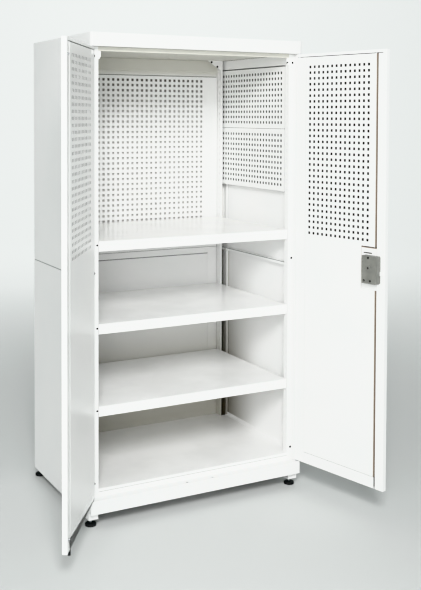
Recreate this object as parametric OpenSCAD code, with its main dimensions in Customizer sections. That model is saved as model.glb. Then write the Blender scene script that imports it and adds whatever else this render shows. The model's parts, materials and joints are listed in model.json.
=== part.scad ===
// Two-door steel tool cabinet with perforated panels, shown with both doors open.
// Millimetres. Body coordinates: X to the right from the middle, Y backwards from the front face, Z up
// from the floor. Door pieces are drawn closed, from the hinge edge (s) and the outer door face (n), then
// swung open.

/* [Cabinet] */
// Width of the body
body_w = 1000; // [880:10:1200]
// Depth of the body
body_d = 700; // [600:10:800]
// Height over the cap, feet included
total_h = 1990; // [1940:10:2100]
// Height of the seam between the lower and upper side panels, from the floor
seam_z = 1000; // [990:1:1010]
// Width of the seam groove in the sides
seam_gap = 4; // [2:0.5:6]

/* [Sheet metal] */
// Sheet thickness of the body
body_t = 1.5; // [1:0.1:2]
// Sheet thickness of doors, shelves and liners
liner_t = 1.2; // [0.8:0.1:1.5]

/* [Cap and base] */
// Height of the cap
cap_h = 54; // [44:1:70]
// Radius of the front corners of the cap
cap_r = 12; // [4:1:18]
// Width of the flange folded under the cap at its sides and back
cap_flange = 20; // [15:1:26]
// Width of the flange folded under the cap at its front
cap_front_flange = 34; // [30:1:36]
// Height of the lower edge of the side panels
side_low = 32; // [28:1:40]
// Height of the lower edge of the plinth
plinth_low = 62; // [56:1:70]
// Height of the plinth's ledge
plinth_high = 117; // [105:1:122]
// Height of the cabinet's inner floor
floor_z = 150; // [146:1:160]
// Height of the floor panel's turned-down edges
floor_lip = 24; // [20:1:28]
// Height of the angle strips along the floor's sides
floor_strip_h = 13; // [8:1:18]
// Width of the lip folded under the plinth
plinth_lip = 12; // [8:1:16]

/* [Frame] */
// Setback of the side panels' front edge
side_setback = 26; // [24:1:28]
// Setback of the posts, the floor lip and the ceiling lip
post_setback = 36; // [34:1:42]
// Width of the posts, from the outside of the body
post_w = 46; // [40:1:52]
// Depth of the front posts' inner flange
front_post_d = 28; // [24:1:34]
// Depth of the rear posts
rear_post_d = 52; // [48:1:70]
// Distance of the side liners from the outside of the body
side_liner_in = 28; // [24:1:32]
// Depth of the back liners
back_liner_d = 13; // [10:1:16]
// Height of the ceiling lip and of the top rails at the sides
top_rail_h = 47; // [40:1:54]
// Height of the rear top rail
rear_rail_h = 79.5; // [70:0.5:90]
// Height of the upper step of the rear top rail
rear_step_h = 59; // [50:0.5:66]
// Width of the side panels' return at the front
side_return = 18; // [14:1:20]
// Width of the side panels' return at the back
back_return = 25; // [20:1:30]
// Width of the flanges folded inwards at the seam and under the cap
seam_flange = 22; // [20:1:24]
// Width of the flange folded inwards at the side panels' lower edge
base_flange = 42; // [40:1:44]
// Width of the rear posts' front lip
rear_post_lip = 8; // [6:1:12]
// Width of the ribs on the side panels beside the rear posts
side_rib = 11.5; // [8:0.5:16]
// Width of the rear posts' back flange
rear_post_flange = 21; // [16:1:24]
// Height of the corner gussets
gusset_h = 44; // [38:1:50]
// Width of the corner gussets
gusset_w = 11; // [8:1:14]
// Height of the gussets at the rear corners
rear_gusset_h = 54; // [44:1:60]
// Width of the gussets at the rear corners
rear_gusset_w = 78; // [60:1:90]

/* [Doors] */
// Thickness of the doors
door_t = 19; // [18:0.5:21]
// Gap below the doors
gap_under = 7; // [6:0.5:9]
// Gap above the doors
gap_over = 3; // [3:0.5:5]
// Gap between the closed doors
gap_centre = 4; // [3:0.5:6]
// Opening angle of the left door as shown
left_open = 123; // [95:0.5:128]
// Opening angle of the right door as shown
right_open = 102.5; // [92:0.5:128]
// Hinge axis from the door's outer edge
pivot_in = 8; // [8:0.5:10]
// Hinge axis from the door's outer face
pivot_back = 10; // [9:0.5:11]
// Diameter of the hinge pins
pin_d = 10; // [8:0.5:10]
// Width of the folded channel along the door's free edge
channel_w = 42; // [38:1:48]
// Width of the fold along the door's hinge edge
hinge_fold = 56; // [50:1:60]
// Gap between the channel and the inner door panel
channel_gap = 7; // [2:0.5:8]
// Height of the fold at the bottom of the door
door_foot = 46; // [40:1:50]
// Height of the fold at the top of the door
door_head = 12; // [10:1:16]
// Height of the slot below the fold at the top of the door
head_slot = 3; // [1.5:0.5:4]
// Distance of the left door's flush bolts from its free edge
flush_in = 60; // [56:1:66]
// Distance of the flush bolts' knobs from the free edge
knob_in = 21; // [18:1:24]
// Reach of the lowered bottom bolt below the door
bolt_out = 28; // [24:1:30]
// Travel of the bottom bolt
low_travel = 22; // [22:1:24]

/* [Perforation] */
// Side of the square holes
hole = 12; // [8:0.5:13]
// Pitch of the square holes
pitch = 25; // [24:0.5:30]
// Rows of holes in each side pegboard
side_rows = 10; // [6:1:10]
// Rows of holes in the back pegboard
back_rows = 28; // [20:1:29]
// Rows of holes in each door
door_rows = 30; // [20:1:31]
// Height of each side pegboard
board_h = 280; // [270:1:290]
// Distance of the side pegboards from the posts' front
board_in = 61; // [50:1:70]
// Plain border round the fields of holes
board_border = 36; // [30:1:40]
// Distance of the first door hole from the hinge edge
door_hole_s = 81; // [76:1:90]
// Distance of the first row of door holes from the door's top
door_hole_top = 58; // [54:1:66]

/* [Shelves] */
// Height of the bottom shelf's top
first_shelf = 485; // [440:1:500]
// Distance between shelves
shelf_pitch = 335; // [300:1:340]
// Height of the shelves' front lip
shelf_lip = 40; // [30:1:50]
// Height of the shelves' side and rear lips
shelf_side_lip = 25; // [20:1:30]
// Width of the lip folded under the shelves' front
shelf_fold = 12; // [8:1:16]
// Gap between a shelf and the back liners
shelf_back_gap = 12; // [8:1:16]
// Gap between a shelf and the posts at each end
shelf_gap = 3; // [2.5:0.5:4]
// Slots in the posts for each shelf pitch
slots_per_pitch = 10; // [6:1:10]

/* [Lock] */
// Distance of the handle's spindle from the door's free edge
spindle_in = 65; // [62:1:70]
// Height of the handle's spindle
spindle_z = 1040; // [1036:1:1044]
// Travel of the locking rods and of the latch
bolt_travel = 18; // [12:1:20]
// Diameter of the locking rods and flush bolts
rod_d = 8; // [6:0.5:9]
// Width of the lock case
case_w = 76; // [72:1:80]
// Height of the lock case
case_h = 115; // [100:1:120]
// Depth of the lock case
case_d = 28; // [24:1:32]
// Height of the lock case below the spindle
case_drop = 65; // [60:1:70]
// Distance from the spindle to the lock case's rounded side
case_reach = 43; // [40:1:44]
// Height of the lock bracket
bracket_h = 179; // [170:1:190]
// Height of the lock bracket below the spindle
bracket_drop = 94; // [88:1:100]
// Width of the lock bracket beside the case
bracket_side = 26; // [22:1:30]
// Gap above the lock bracket
bracket_gap = 3.5; // [1:0.5:4]
// Distance of the middle rod guides from the spindle
guide_span = 300; // [200:10:360]
// Length of the handle's lever
lever_l = 110; // [80:1:130]

/* [Feet] */
// Distance of the feet from the outside of the body
foot_in = 20; // [18:1:22]
// Distance of the front feet from the front face
foot_front = 56; // [52:1:66]
// Distance of the rear feet from the back
foot_rear = 24; // [22:1:34]
// Diameter of the foot pads
foot_d = 46; // [34:1:50]
// Diameter of the threaded stems
stem_d = 10; // [8:0.5:12]
// Height of the foot pads
pad_h = 12; // [9:0.5:14]

/* [Hidden] */
$fn = 40;

paint = "#f1f1ee";
zinc = "#b9bdc0";
grey = "#8b9094";
black = "#17181a";
chrome = "#d4d6d8";

// Clearances
run_fit = 0.05;
loose_fit = 0.4;
cut = 1;

// Levels and planes of the body
half = body_w / 2;
skin_in = half - body_t;
cap_z = total_h - cap_h;
ceiling_z = cap_z - body_t;
back_in = body_d - 2 * body_t;
back_face = back_in - back_liner_d;
post_x = half - post_w;
post_back = post_setback + body_t;
side_liner_x = half - side_liner_in;
flange_x = half - seam_flange;
strip_x = flange_x + body_t;
rear_post_y = back_in - rear_post_d;
slot_in = 15.5;
rib_x = skin_in - side_rib;
rib_y = rear_post_y + body_t;
slot_front_y = post_setback + slot_in;
slot_rear_y = rear_post_y + slot_in;
slot_w = 4;
slot_h = 14;
slot_pitch = shelf_pitch / slots_per_pitch;
slot_drop = 18;
slots_below = floor((first_shelf - slot_drop - floor_z - 40) / slot_pitch);
slot_low = first_shelf - slot_drop - slots_below * slot_pitch;
slot_high = cap_z - 60;
shelf_x = post_x - shelf_gap;
shelf_front = post_setback + 1;
shelf_rear = back_face - shelf_back_gap;

// Doors
door_w = half - gap_centre / 2;
door_lo = plinth_high + gap_under;
door_hi = cap_z - gap_over;
door_in = door_t - liner_t;
channel_s = door_w - channel_w;
panel_s0 = hinge_fold + 1;
panel_s1 = channel_s - channel_gap;
panel_lo = door_lo + door_foot + 2;
head_z = door_hi - door_head;
slot_z = head_z - head_slot;
panel_hi = slot_z - 0.5;
door_hole_z = door_hi - door_hole_top;
flush_s = door_w - flush_in;
knob_s = door_w - knob_in;
spindle_s = door_w - spindle_in;
rod_s = spindle_s + 7;
rod_n = 12;
rod_r = rod_d / 2;
rod_hole_r = rod_r + 2;
pin_r = pin_d / 2;
bush_r = pin_r + 1.6;
bush_len = 20;
pin_reach = 14;
collar_h = 2;
collar_r = pin_r + 0.9;
tip_r = 5.5;
tip_h = 24;
tip_hole_r = tip_r + 1.2;

// Lock
cam_r = bolt_travel / sqrt(2);
cam_pin_r = 2.5;
yoke_n0 = 10;
yoke_n1 = 14;
yoke_slot = cam_pin_r + 0.5;
latch_n0 = door_t + 0.5;
latch_n1 = latch_n0 + 4;
latch_lo = spindle_z - 30;
latch_hi = latch_lo + 16;
case_s1 = spindle_s + case_reach;
case_s0 = case_s1 - case_w;
case_lo = spindle_z - case_drop;
case_hi = case_lo + case_h;
case_wall = 2;
bracket_s0 = case_s0 - bracket_side;
bracket_lo = spindle_z - bracket_drop;
bracket_hi = bracket_lo + bracket_h;
hub_r = 14;
hub_n = -34;
neck_r = 9;
key_r = 8;
key_l = 16;
plate_n = -4;
plate_r = 17;
plate_half = 45;
lever_r = 8;
lever_n0 = hub_n + 2;
lever_n1 = hub_n + 14;
cam_n0 = 5;
cam_n1 = 7;

// Feet
foot_x = half - foot_in;
foot_rear_y = body_d - foot_rear;
pad_r = foot_d / 2;
stem_r = stem_d / 2;
bracket_t = 3;
boss_r = stem_r + 4;
boss_h = 13;
nut_r = stem_r + 4.6;
nut_h = 8;
front_edge_y = side_setback + body_t;
side_bottom_x = half - base_flange;

// Box of the whole object with its doors open, for the origin at the middle of its underside
x_min = -half + pivot_in + (door_w - pivot_in) * cos(left_open) - pivot_back * sin(left_open);
x_max = half - pivot_in - (spindle_s + hub_r - pivot_in) * cos(right_open)
    - (hub_n - pivot_back) * sin(right_open);
y_min = pivot_back - (door_w - pivot_in) * sin(right_open) + (door_t - pivot_back) * cos(right_open);
y_max = body_d;

module place() {
    translate([-(x_min + x_max) / 2, -(y_min + y_max) / 2, 0]) children();
}

module left_pose() {
    place()
        translate([-half + pivot_in, pivot_back, 0])
        rotate(-left_open)
        translate([-pivot_in, -pivot_back, 0])
        children();
}

module right_pose() {
    place()
        translate([half - pivot_in, pivot_back, 0])
        rotate(right_open)
        translate([pivot_in, -pivot_back, 0])
        mirror([1, 0, 0])
        children();
}

// Plain block between two corners
module block(x0, x1, y0, y1, z0, z1) {
    translate([x0, y0, z0]) cube([x1 - x0, y1 - y0, z1 - z0]);
}

module both_sides() {
    children();
    mirror([1, 0, 0]) children();
}

// Round bar upright, from z0 to z1
module bar_z(x, y, r, z0, z1) {
    translate([x, y, z0]) cylinder(r = r, h = z1 - z0);
}

// Round bar along the depth, from y0 to y1
module bar_y(x, z, r, y0, y1) {
    translate([x, y0, z]) rotate([-90, 0, 0]) cylinder(r = r, h = y1 - y0);
}

// Flat sheet facing forwards, with a grid of square holes; the sheet spans y0 to y0 + t
module perforated_front(x0, x1, z0, z1, y0, t, hx, hz, columns, rows) {
    translate([0, y0 + t, 0])
        rotate([90, 0, 0])
        linear_extrude(t)
        difference() {
            translate([x0, z0]) square([x1 - x0, z1 - z0]);
            for (i = [0 : columns - 1])
                for (j = [0 : rows - 1])
                    translate([hx + i * pitch - hole / 2, hz - j * pitch - hole / 2]) square(hole);
        }
}

// Body: cap and ceiling

module cap_outline(inset) {
    r = cap_r - inset;
    w = body_w - 2 * inset;
    union() {
        translate([-w / 2, cap_r]) square([w, body_d - cap_r - inset]);
        translate([-half + cap_r, inset]) square([body_w - 2 * cap_r, cap_r]);
        for (side = [-1, 1])
            translate([side * (half - cap_r), cap_r]) circle(r);
    }
}

module top_cap() {
    color(paint)
        place()
        difference() {
            translate([0, 0, cap_z]) linear_extrude(cap_h) cap_outline(0);
            translate([0, 0, cap_z + body_t]) linear_extrude(cap_h - 2 * body_t) cap_outline(body_t);
            block(-half + cap_flange, half - cap_flange, cap_front_flange, body_d - cap_flange,
                cap_z - cut, cap_z + body_t + cut);
            for (side = [-1, 1])
                bar_z(side * (half - pivot_in), pivot_back, pin_r + run_fit, cap_z - cut, cap_z + body_t + cut);
            bar_z(half - rod_s, rod_n, rod_hole_r, cap_z - cut, cap_z + body_t + cut);
            bar_z(-half + flush_s, rod_n, rod_hole_r, cap_z - cut, cap_z + body_t + cut);
        }
}

module ceiling_panel() {
    color(paint)
        place()
        union() {
            block(-skin_in, skin_in, post_setback, back_in, ceiling_z, cap_z);
            block(-post_x, post_x, post_setback, post_back, cap_z - 18, cap_z);
        }
}

// Body: sides and back

module side_skin(z0, z1) {
    block(skin_in, half, side_setback, body_d, z0, z1);
    block(half - side_return, half, side_setback, front_edge_y, z0, z1);
    block(half - back_return, half, body_d - body_t, body_d, z0, z1);
}

module upper_side() {
    z0 = seam_z + seam_gap / 2;
    union() {
        side_skin(z0, cap_z);
        block(rib_x, half, rear_post_y, rib_y, z0, board_next_low - board_gap);
        block(flange_x, half, post_back, back_in, z0, z0 + body_t);
        block(flange_x, half, post_back, back_in, ceiling_z - body_t, ceiling_z);
    }
}

module lower_side() {
    z1 = seam_z - seam_gap / 2;
    difference() {
        union() {
            side_skin(side_low, z1);
            block(rib_x, half, rear_post_y, rib_y, side_low, z1);
            block(flange_x, half, post_back, back_in, z1 - body_t, z1);
            block(flange_x, strip_x, post_back, back_in, z1 - 10, z1);
            block(side_bottom_x, half, side_setback, back_in, side_low, side_low + body_t);
        }
        bar_z(foot_x, foot_front, stem_r + 1, side_low - cut, side_low + body_t + cut);
        bar_z(foot_x, foot_rear_y, stem_r + 1, side_low - cut, side_low + body_t + cut);
    }
}

module upper_left_side() { color(paint) place() mirror([1, 0, 0]) upper_side(); }
module upper_right_side() { color(paint) place() upper_side(); }
module lower_left_side() { color(paint) place() mirror([1, 0, 0]) lower_side(); }
module lower_right_side() { color(paint) place() lower_side(); }

module side_joint_strips() {
    color(grey)
        place()
        both_sides()
        block(strip_x, half - 2.5, post_back, back_in, seam_z - seam_gap / 2, seam_z + seam_gap / 2);
}

module upper_back() {
    color(paint)
        place()
        block(-half + 3, half - 3, back_in, back_in + body_t, seam_z + 1, cap_z);
}

module lower_back() {
    color(paint)
        place()
        block(-half + 3, half - 3, back_in, back_in + body_t, side_low, seam_z - 1);
}

// Body: posts and rails

module post_slots(y) {
    for (z = [slot_low - slot_h / 2 : slot_pitch : slot_high])
        block(post_x - cut, post_x + body_t + cut, y - slot_w / 2, y + slot_w / 2, z, z + slot_h);
}

module front_post() {
    difference() {
        union() {
            block(post_x, skin_in, post_setback, post_back, plinth_high, ceiling_z);
            block(post_x, post_x + body_t, post_setback, post_setback + front_post_d, plinth_high, ceiling_z);
        }
        post_slots(slot_front_y);
    }
}

module rear_post() {
    z0 = side_low + body_t;
    difference() {
        union() {
            block(post_x, post_x + body_t, rear_post_y, back_in, z0, ceiling_z);
            block(post_x, post_x + rear_post_lip, rear_post_y, rear_post_y + body_t, z0, ceiling_z);
            block(post_x, post_x + rear_post_flange, back_in - body_t, back_in, z0, ceiling_z);
        }
        post_slots(slot_rear_y);
    }
}

module front_left_post() { color(paint) place() mirror([1, 0, 0]) front_post(); }
module front_right_post() { color(paint) place() front_post(); }
module rear_left_post() { color(paint) place() mirror([1, 0, 0]) rear_post(); }
module rear_right_post() { color(paint) place() rear_post(); }

rail_y1 = back_in - 2;
rail_low = cap_z - top_rail_h;

module side_top_rails() {
    color(paint)
        place()
        both_sides()
        union() {
            block(side_liner_x, side_liner_x + body_t, post_back, rail_y1, rail_low, ceiling_z - body_t);
            block(side_liner_x, skin_in, post_back, rail_y1, rail_low, rail_low + body_t);
        }
}

rear_rail_low = cap_z - rear_rail_h;
rear_rail_step = cap_z - rear_step_h;
rear_rail_y = back_face - 2;
rail_step_d = 3;

module rear_top_rail() {
    step_y = rear_rail_y + rail_step_d;
    color(paint)
        place()
        union() {
            block(-post_x, post_x, rear_rail_y, rear_rail_y + body_t, rear_rail_step, ceiling_z);
            block(-post_x, post_x, rear_rail_y, back_in, ceiling_z - body_t, ceiling_z);
            block(-post_x, post_x, rear_rail_y, step_y + body_t, rear_rail_step, rear_rail_step + body_t);
            block(-post_x, post_x, step_y, step_y + body_t, rear_rail_low, rear_rail_step + body_t);
            block(-post_x, post_x, step_y, back_in, rear_rail_low, rear_rail_low + body_t);
        }
}

// Body: liners and pegboards

module tray_rim(x0, x1, y0, y1, z0, z1) {
    block(x0, x0 + liner_t, y0, y1, z0, z1);
    block(x1 - liner_t, x1, y0, y1, z0, z1);
    block(x0, x1, y0, y1, z0, z0 + liner_t);
    block(x0, x1, y0, y1, z1 - liner_t, z1);
}

back_board_x = post_x - 2;
back_board_low = seam_z + 5;
back_board_high = rear_rail_low - 3;
back_columns = 2 * floor((back_board_x - 2 * board_border) / pitch);
back_hole_z = back_board_high - 21.5;

module back_pegboard() {
    color(paint)
        place()
        union() {
            perforated_front(-back_board_x, back_board_x, back_board_low, back_board_high, back_face, liner_t,
                -(back_columns - 1) * pitch / 2, back_hole_z, back_columns, back_rows);
            tray_rim(-back_board_x, back_board_x, back_face, back_in, back_board_low, back_board_high);
        }
}

field_x = back_board_x - 49;
field_low = floor_z + 26;
field_high = seam_z - 26;
field_depth = 4;

module lower_back_liner() {
    rim = field_x + liner_t;
    high = seam_z + 3;
    color(paint)
        place()
        union() {
            difference() {
                block(-back_board_x, back_board_x, back_face, back_face + liner_t, floor_z, high);
                block(-field_x, field_x, back_face - cut, back_face + liner_t + cut, field_low, field_high);
            }
            block(-rim, rim, back_face + field_depth, back_face + field_depth + liner_t,
                field_low - liner_t, field_high + liner_t);
            tray_rim(-rim, rim, back_face, back_face + field_depth + liner_t,
                field_low - liner_t, field_high + liner_t);
            tray_rim(-back_board_x, back_board_x, back_face, back_in, floor_z, high);
        }
}

board_front = post_setback + board_in;
board_rear = back_face + 3;
board_gap = 2;
board_high = rail_low - 5;
board_next = board_high - board_h - board_gap;
board_next_low = board_next - board_h;
board_hole_y = board_rear - board_border;
board_columns = floor((board_hole_y - board_front - 20) / pitch) + 1;

// Side pegboard for the right side, with its upper edge at z1
module side_board(z1) {
    z0 = z1 - board_h;
    hole_y = board_hole_y - hole / 2;
    hole_z = z1 - 28 - hole / 2;
    union() {
        translate([side_liner_x, 0, 0])
            rotate([90, 0, 90])
            linear_extrude(liner_t)
            difference() {
                translate([board_front, z0]) square([board_rear - board_front, board_h]);
                for (i = [0 : board_columns - 1])
                    for (j = [0 : side_rows - 1])
                        translate([hole_y - i * pitch, hole_z - j * pitch]) square(hole);
            }
        block(side_liner_x, skin_in, board_front, board_front + liner_t, z0, z1);
        block(side_liner_x, skin_in, board_rear - liner_t, board_rear, z0, z1);
        block(side_liner_x, skin_in, board_front, board_rear, z0, z0 + liner_t);
        block(side_liner_x, skin_in, board_front, board_rear, z1 - liner_t, z1);
    }
}

module upper_left_pegboard() { color(paint) place() mirror([1, 0, 0]) side_board(board_high); }
module middle_left_pegboard() { color(paint) place() mirror([1, 0, 0]) side_board(board_next); }
module upper_right_pegboard() { color(paint) place() side_board(board_high); }
module middle_right_pegboard() { color(paint) place() side_board(board_next); }

// Body: base, floor and shelves

ledge_d = post_back + 0.5;

module plinth() {
    ledge_x = half - side_return - loose_fit;
    color(paint)
        place()
        difference() {
            union() {
                block(-half, half, 0, body_t, plinth_low, plinth_high);
                block(-half, half, 0, side_setback, plinth_high - body_t, plinth_high);
                block(-ledge_x, ledge_x, 0, ledge_d, plinth_high - body_t, plinth_high);
                block(-half, half, 0, plinth_lip, plinth_low, plinth_low + body_t);
                both_sides() block(skin_in, half, 0, side_setback, plinth_low, plinth_high);
            }
            for (side = [-1, 1])
                bar_z(side * (half - pivot_in), pivot_back, pin_r + run_fit,
                    plinth_high - body_t - cut, plinth_high + cut);
            bar_z(half - rod_s, rod_n, rod_hole_r, plinth_high - body_t - cut, plinth_high + cut);
            bar_z(-half + flush_s, rod_n, tip_hole_r, plinth_high - body_t - cut, plinth_high + cut);
        }
}

floor_edge = skin_in - loose_fit;
wing_y0 = post_setback + front_post_d + 1;
wing_y1 = rear_post_y - 1;

module floor_panel() {
    low = floor_z - floor_lip;
    color(paint)
        place()
        union() {
            block(-post_x, post_x, post_setback, back_in, floor_z - body_t, floor_z);
            block(-post_x, post_x, post_setback, post_back, plinth_high, floor_z);
            both_sides() {
                block(post_x - body_t, post_x, post_setback, back_in, low, floor_z);
                block(post_x - body_t, floor_edge, wing_y0, wing_y1, floor_z - body_t, floor_z);
            }
            block(-post_x, post_x, back_in - body_t, back_in, low, floor_z);
        }
}

// Angle strips that close the joint between the floor and the side panels
module floor_strips() {
    color(paint)
        place()
        both_sides()
        union() {
            block(floor_edge - floor_strip_h, floor_edge, wing_y0, wing_y1, floor_z, floor_z + body_t);
            block(floor_edge - body_t, floor_edge, wing_y0, wing_y1, floor_z, floor_z + floor_strip_h);
        }
}

module shelf(z) {
    union() {
        block(-shelf_x, shelf_x, shelf_front, shelf_rear, z - liner_t, z);
        block(-shelf_x, shelf_x, shelf_front, shelf_front + liner_t, z - shelf_lip, z);
        block(-shelf_x, shelf_x, shelf_front, shelf_front + shelf_fold, z - shelf_lip, z - shelf_lip + liner_t);
        both_sides() block(shelf_x - liner_t, shelf_x, shelf_front, shelf_rear, z - shelf_side_lip, z);
        block(-shelf_x, shelf_x, shelf_rear - liner_t, shelf_rear, z - shelf_side_lip, z);
    }
}

module top_shelf() { color(paint) place() shelf(first_shelf + 2 * shelf_pitch); }
module middle_shelf() { color(paint) place() shelf(first_shelf + shelf_pitch); }
module bottom_shelf() { color(paint) place() shelf(first_shelf); }

clip_t = 1.5;
clip_w = 20;
clip_d = 14;

// Clip of the right side for a shelf with its top at z, centred on y
module shelf_clip(y, z) {
    low = z - shelf_side_lip - clip_t;
    hook_w = slot_w / 2 - loose_fit;
    hook_h = slot_h / 2 - 1;
    union() {
        block(post_x - clip_t, post_x, y - clip_w / 2, y + clip_w / 2, low, z - 6);
        block(post_x - clip_d, post_x, y - clip_w / 2, y + clip_w / 2, low, low + clip_t);
        block(post_x - clip_t, post_x + 2 * body_t + clip_t, y - hook_w, y + hook_w,
            z - slot_drop - hook_h, z - slot_drop + hook_h);
    }
}

module shelf_clips() {
    color(zinc)
        place()
        both_sides()
        for (k = [0 : 2])
            for (y = [slot_front_y, slot_rear_y])
                shelf_clip(y, first_shelf + k * shelf_pitch);
}

module corner_gussets() {
    top = cap_z - 6;
    low = top - gusset_h;
    edge = post_x - gusset_w;
    foot = post_x - gusset_w / 2;
    color(paint)
        place()
        both_sides()
        translate([0, post_back + body_t, 0])
        rotate([90, 0, 0])
        linear_extrude(body_t)
        polygon([
            [post_x, low], [foot, low], [edge, low + gusset_w], [edge, top], [post_x, top]
        ]);
}

module rear_gussets() {
    color(paint)
        place()
        both_sides()
        translate([0, rear_post_y, 0])
        rotate([90, 0, 0])
        linear_extrude(body_t)
        polygon([
            [post_x + rear_post_lip - 2, ceiling_z - rear_gusset_h],
            [post_x + rear_post_lip - 2, ceiling_z], [post_x - rear_gusset_w, ceiling_z]
        ]);
}

// Body: hinge pins, feet hardware and screws

module hinge_pins() {
    color(zinc)
        place()
        both_sides() {
            union() {
                bar_z(half - pivot_in, pivot_back, pin_r, plinth_high - 5, door_lo + pin_reach);
                bar_z(half - pivot_in, pivot_back, collar_r, plinth_high, plinth_high + collar_h);
            }
            union() {
                bar_z(half - pivot_in, pivot_back, pin_r, door_hi - pin_reach, cap_z + body_t + collar_h);
                bar_z(half - pivot_in, pivot_back, collar_r, cap_z + body_t, cap_z + body_t + collar_h);
            }
        }
}

// Plate under a corner with a nut boss for the foot at y and a skirt upwards at skirt_y
module foot_bracket(y0, y1, y, skirt_y) {
    z0 = side_low + body_t;
    difference() {
        union() {
            block(side_bottom_x, skin_in, y0, y1, z0, z0 + bracket_t);
            block(side_bottom_x, skin_in, skirt_y, skirt_y + body_t, z0, z0 + base_flange);
            bar_z(foot_x, y, boss_r, z0, z0 + boss_h);
        }
        bar_z(foot_x, y, stem_r + run_fit, z0 - cut, z0 + boss_h + cut);
    }
}

module foot_brackets() {
    color(paint)
        place()
        both_sides() {
            foot_bracket(front_edge_y + body_t, foot_front + foot_in, foot_front, front_edge_y + body_t);
            foot_bracket(foot_rear_y - foot_in, back_in - body_t, foot_rear_y, foot_rear_y - foot_in);
        }
}

module foot_locknuts() {
    color(zinc)
        place()
        both_sides()
        for (y = [foot_front, foot_rear_y])
            difference() {
                translate([foot_x, y, side_low - nut_h]) cylinder(r = nut_r, h = nut_h, $fn = 6);
                bar_z(foot_x, y, stem_r + run_fit, side_low - nut_h - cut, side_low + cut);
            }
}

// Low round screw head along the depth, standing out forwards from plane y
module screw_head(x, y, z, r, h) {
    bar_y(x, z, r, y - h, y);
}

screw_r = 4;
screw_h = 1.8;
screw_x = side_liner_x;
top_screw_z = rail_low + 8;
rivet_z = [side_low + 60, seam_z - 60, seam_z + 60, cap_z - 60];

module frame_screws() {
    color(zinc)
        place()
        both_sides() {
            screw_head(screw_x, post_setback, top_screw_z, screw_r, screw_h);
            screw_head(screw_x, post_setback, seam_z + 28, screw_r, screw_h);
            screw_head(screw_x, post_setback, floor_z + 25, screw_r, screw_h);
            translate([post_x, post_setback + slot_in, top_screw_z])
                rotate([0, -90, 0])
                cylinder(r = screw_r, h = screw_h);
            for (p = [[0.72, 0.14], [0.3, 0.55]])
                screw_head(post_x - p[0] * rear_gusset_w, rear_post_y - body_t, ceiling_z - p[1] * rear_gusset_h,
                    screw_r, screw_h);
            for (z = rivet_z)
                bar_y(half - 38, z, screw_r + 1, back_in + body_t, body_d - 0.2);
        }
}

// Doors

// Folded outer skin of a door, drawn closed
module door_skin() {
    union() {
        block(0, door_w, 0, liner_t, door_lo, door_hi);
        block(0, liner_t, 0, door_t, door_lo, door_hi);
        block(door_w - liner_t, door_w, 0, door_t, door_lo, door_hi);
        block(0, door_w, 0, door_t, door_lo, door_lo + liner_t);
        block(0, door_w, 0, door_t, door_hi - liner_t, door_hi);
        difference() {
            union() {
                block(0, hinge_fold, door_in, door_t, door_lo, door_hi);
                block(channel_s, door_w, door_in, door_t, door_lo, door_hi);
                block(0, door_w, door_in, door_t, head_z, door_hi);
                block(0, panel_s1, door_in, door_t, door_lo, door_lo + door_foot);
            }
            block(5, door_w - 18, door_in - cut, door_t + cut, slot_z, head_z);
        }
        block(channel_s, channel_s + liner_t, door_in - 8, door_t, door_lo, slot_z);
    }
}

module hinge_holes() {
    bar_z(pivot_in, pivot_back, bush_r + run_fit, door_lo - cut, door_lo + liner_t + cut);
    bar_z(pivot_in, pivot_back, bush_r + run_fit, door_hi - liner_t - cut, door_hi + cut);
}

// Inner door panel: a shallow tray with a field of square holes
module door_panel() {
    columns = floor((panel_s1 - board_border - door_hole_s) / pitch) + 1;
    union() {
        perforated_front(panel_s0, panel_s1, panel_lo, panel_hi, door_in, liner_t,
            door_hole_s, door_hole_z, columns, door_rows);
        tray_rim(panel_s0, panel_s1, liner_t, door_t, panel_lo, panel_hi);
    }
}

// Hinge bush with its flange outwards by the height out, from the door's edge at z
module hinge_bush(z, top, out) {
    translate([pivot_in, pivot_back, z])
        mirror([0, 0, top])
        difference() {
            union() {
                cylinder(r = bush_r, h = bush_len);
                translate([0, 0, -out]) cylinder(r = bush_r + 1, h = out);
            }
            translate([0, 0, -gap_under]) cylinder(r = pin_r + run_fit, h = bush_len + gap_under + cut);
        }
}

module hinge_bush_pair() {
    hinge_bush(door_lo, 0, gap_under - collar_h - loose_fit);
    hinge_bush(door_hi, 1, gap_over - loose_fit);
}

// Plates that stiffen the hinge corners, on the inner face of the door
module hinge_plate_pair() {
    plate_s = hinge_fold / 2 + 6;
    for (z = [door_lo + 6, slot_z - 19])
        union() {
            block(plate_s - 16, plate_s + 14, door_t, door_t + liner_t, z, z + 18);
            bar_y(plate_s, z + 9, screw_r, door_t + liner_t, door_t + liner_t + 1.4);
        }
}

// Guide block inside a door with a bore for a rod at (s, n)
module rod_guide(s, n, z, h) {
    difference() {
        block(s - 7, s + 7, liner_t, door_in, z, z + h);
        bar_z(s, n, rod_r + run_fit, z - cut, z + h + cut);
    }
}

// Left door

top_bolt_z = door_hi - 58;
low_bolt_z = door_lo + 46;
finger_r = 3;
knob_n = door_t + 5;
guide_h = 6;
arm_n0 = 5;
arm_n1 = 9;
rim_cut = 17;

module finger_slot(z0, z1) {
    gap_r = finger_r + loose_fit;
    block(knob_s - gap_r, knob_s + gap_r, door_in - cut, door_t + cut, z0 - gap_r, z1 + gap_r);
}

module left_door_skin() {
    color(paint)
        left_pose()
        difference() {
            door_skin();
            hinge_holes();
            bar_z(flush_s, rod_n, tip_r + run_fit, door_lo - cut, door_lo + liner_t + cut);
            bar_z(flush_s, rod_n, rod_r + loose_fit, door_hi - liner_t - cut, door_hi + cut);
            finger_slot(top_bolt_z, top_bolt_z + bolt_travel);
            finger_slot(low_bolt_z, low_bolt_z + low_travel);
        }
}

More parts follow.
